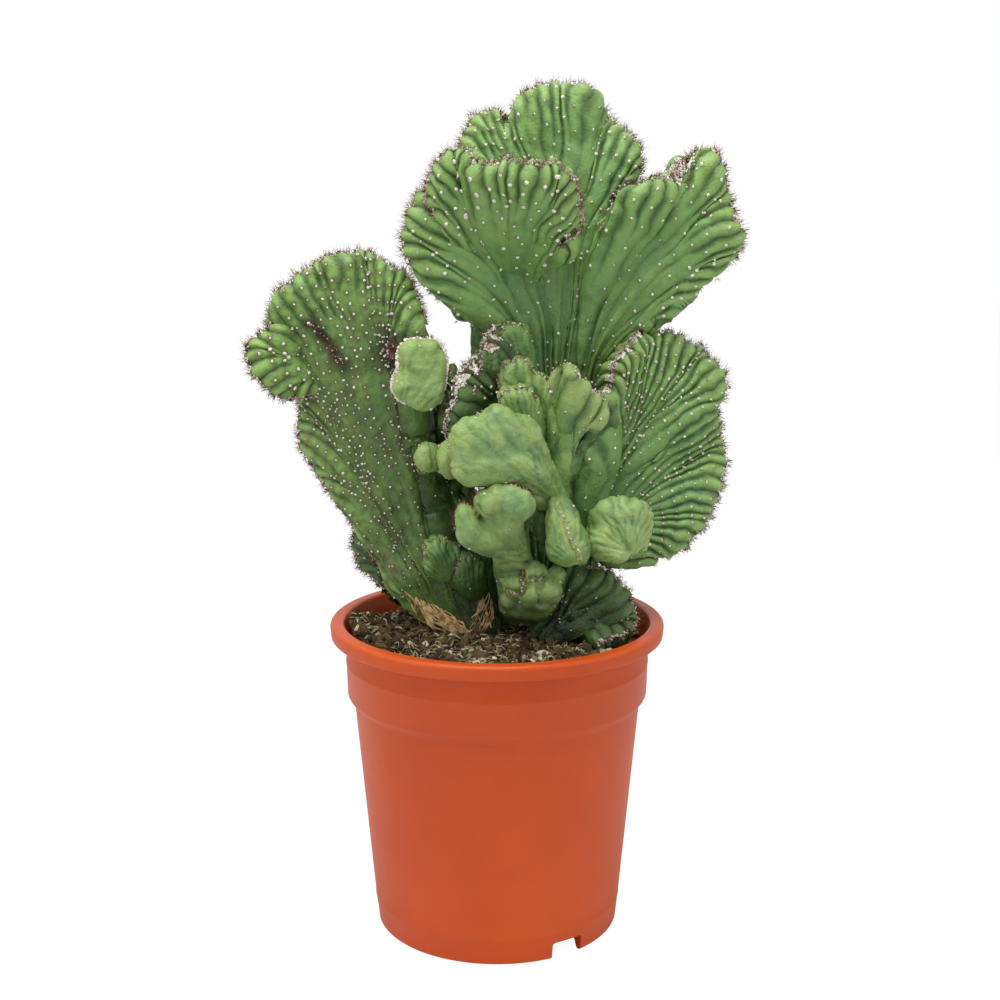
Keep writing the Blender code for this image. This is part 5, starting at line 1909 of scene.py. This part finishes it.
def bitMesh(kind, seed):
    # one loose bit about a millimetre across or long, before the tree scales it
    chance = np.random.default_rng(seed)
    shell = bmesh.new()
    if kind in ("crumb", "lump"):
        bmesh.ops.create_icosphere(shell, subdivisions=1 if kind == "crumb" else 2, radius=0.5 * mm)
        stretch = chance.uniform(0.55, 1.3, 3)
        for vertex in shell.verts:
            push = 1 + 0.32 * chance.normal()
            vertex.co = Vector([c * s * max(0.5, push) for c, s in zip(vertex.co, stretch)])
    elif kind == "thread":
        bend, twist, length = chance.uniform(0.3, 1.6), chance.uniform(-1, 1), 1.0
        rings = []
        for step in range(5):
            t = step / 4 - 0.5
            centre = np.array(
                [length * t, 0.3 * bend * (t * t * 4 - 0.5), 0.1 + 0.16 * twist * math.sin(5 * t)],
            )
            width = 0.05 * (1 - 0.5 * abs(2 * t))
            corners = [centre + [0, width * math.cos(a), width * math.sin(a)] for a in (0, 2.1, 4.2)]
            rings.append([shell.verts.new(Vector(corner) * mm) for corner in corners])
        for one, two in zip(rings[:-1], rings[1:]):
            for k in range(3):
                shell.faces.new((one[k], one[(k + 1) % 3], two[(k + 1) % 3], two[k]))
        shell.faces.new(rings[0][::-1])
        shell.faces.new(rings[-1])
    else:
        # a curl or flake: a strip rolled part of the way round
        roll = chance.uniform(2.2, 4.6) if kind == "curl" else chance.uniform(0.2, 0.9)
        radius, wide = (0.42, 0.32) if kind == "curl" else (1.0 / roll, 0.6)
        rings, steps = [], 6 if kind == "curl" else 4
        for step in range(steps):
            a = roll * (step / (steps - 1) - 0.5)
            flare = wide * (0.5 + 0.5 * math.sin(math.pi * (step + 0.5) / steps)) * chance.uniform(0.8, 1.1)
            ring = []
            for side, out in ((-1, 0.0), (1, 0.0), (1, 0.06), (-1, 0.06)):
                reach = radius + out
                depth = reach * math.cos(a) - radius + 0.1
                spot = (reach * math.sin(a), side * flare / 2 + 0.08 * a, depth)
                ring.append(shell.verts.new(Vector(spot) * mm))
            rings.append(ring)
        for one, two in zip(rings[:-1], rings[1:]):
            for k in range(4):
                shell.faces.new((one[k], one[(k + 1) % 4], two[(k + 1) % 4], two[k]))
        shell.faces.new(rings[0][::-1])
        shell.faces.new(rings[-1])
    bmesh.ops.recalc_face_normals(shell, faces=shell.faces)
    mesh = bpy.data.meshes.new(kind)
    shell.to_mesh(mesh)
    shell.free()
    return mesh


def bitKinds(kind, count, seed):
    holder = bpy.data.collections.new(kind + "Kinds")
    for number in range(count):
        holder.objects.link(bpy.data.objects.new(kind + str(number), bitMesh(kind, seed + number)))
    return holder


# what lies on the bed: how many shapes it has, how many lie on a square centimetre, smallest and largest in
# millimetres, tilt in radians
litter = {
    "crumb": {
        "count": 5, "density": 11.5, "smallest": 1.0, "largest": 3.2, "tilt": 3.0, "seed": 51,
        "finish": ("peatCrumb", "#17100a", "#75603f", "#3f301c"),
    },
    "lump": {
        "count": 4, "density": 1.5, "smallest": 3.0, "largest": 6.5, "tilt": 3.0, "seed": 61,
        "finish": ("barkLump", "#1a120b", "#6f5c3c", "#3e2e1b"),
    },
    "thread": {
        "count": 6, "density": 5.0, "smallest": 3.0, "largest": 8.5, "tilt": 0.6, "seed": 71,
        "finish": ("dryFibre", "#665231", "#dccfa8", "#8f7d50"),
    },
    "curl": {
        "count": 5, "density": 4.0, "smallest": 2.2, "largest": 6.5, "tilt": 1.2, "seed": 81,
        "finish": ("barkCurl", "#6b5a37", "#eee6cd", "#a89a70"),
    },
    "flake": {
        "count": 5, "density": 3.4, "smallest": 2.2, "largest": 5.6, "tilt": 0.9, "seed": 91,
        "finish": ("mossyFlake", "#2f2816", "#a39871", "#5c4e2e"),
    },
}

bedPiece = makeBed()
bedPiece.data.materials.append(makePeat("dampPeat", "#1c130b", "#5b432d", "#3a2b1a"))
onBody(bedPiece, "potting_mix", "potting_mix")
sprinkle = sprinkleTree()
for kind, bits in litter.items():
    holder = bitKinds(kind, bits["count"], bits["seed"])
    layer = link("mix_" + kind, bedPiece.data.copy())
    grownBy(layer, sprinkle, {
        "Bits": holder, "Density": bits["density"] * 1e4,
        "Smallest": bits["smallest"], "Largest": bits["largest"], "Tilt": bits["tilt"], "Lift": 0.3 * mm,
        "Seed": bits["seed"], "Finish": makePeat(*bits["finish"], tinted=True),
    })
    for shape in list(holder.objects):
        bpy.data.objects.remove(shape)
    bpy.data.collections.remove(holder)
    onBody(layer, "potting_mix")
    print("on the mix:", kind, len(layer.data.polygons), "faces")

# a few pale mineral chips and a dark stone that lie on the mix: place, half sizes and whether pale
chips = [
    ((22, -48), (3.0, 2.4, 1.9), True),
    ((38, -56), (1.6, 1.3, 1.1), True),
    ((-58, -48), (1.4, 1.2, 1.0), True),
    ((52, -38), (1.7, 1.3, 1.1), True),
    ((-30, -66), (1.5, 1.0, 0.9), True),
    ((58, -30), (2.4, 2.6, 3.4), False),
]


def layChips(pale, seed):
    chance = np.random.default_rng(seed)
    shell = bmesh.new()
    for (x, y), halves, isPale in chips:
        if isPale == pale:
            height = float(bedHeight(np.array(float(x)), np.array(float(y)))) + 0.7 * halves[2]
            made = bmesh.ops.create_icosphere(shell, subdivisions=3, radius=1.0)
            for vertex in made["verts"]:
                knock = 1 + 0.12 * float(wobble(np.array(vertex.co) * 10, 9, seed)) + 0.03 * chance.normal()
                vertex.co = Vector(
                    [(c * h * knock + p) * mm for c, h, p in zip(vertex.co, halves, (x, y, height))],
                )
    mesh = bpy.data.meshes.new("chips")
    shell.to_mesh(mesh)
    shell.free()
    piece = link("mix_chips_pale" if pale else "mix_chips_dark", outwards(mesh))
    colours = ("#a9a498", "#e6e2d8", "#cfcabd") if pale else ("#161c1c", "#39453f", "#232d2b")
    piece.data.materials.append(makePeat("mineralChip" if pale else "darkStone", *colours))
    piece.data.shade_smooth()
    return onBody(piece, "potting_mix")


for pale, seed in ((True, 95), (False, 96)):
    layChips(pale, seed)
print("chips laid")
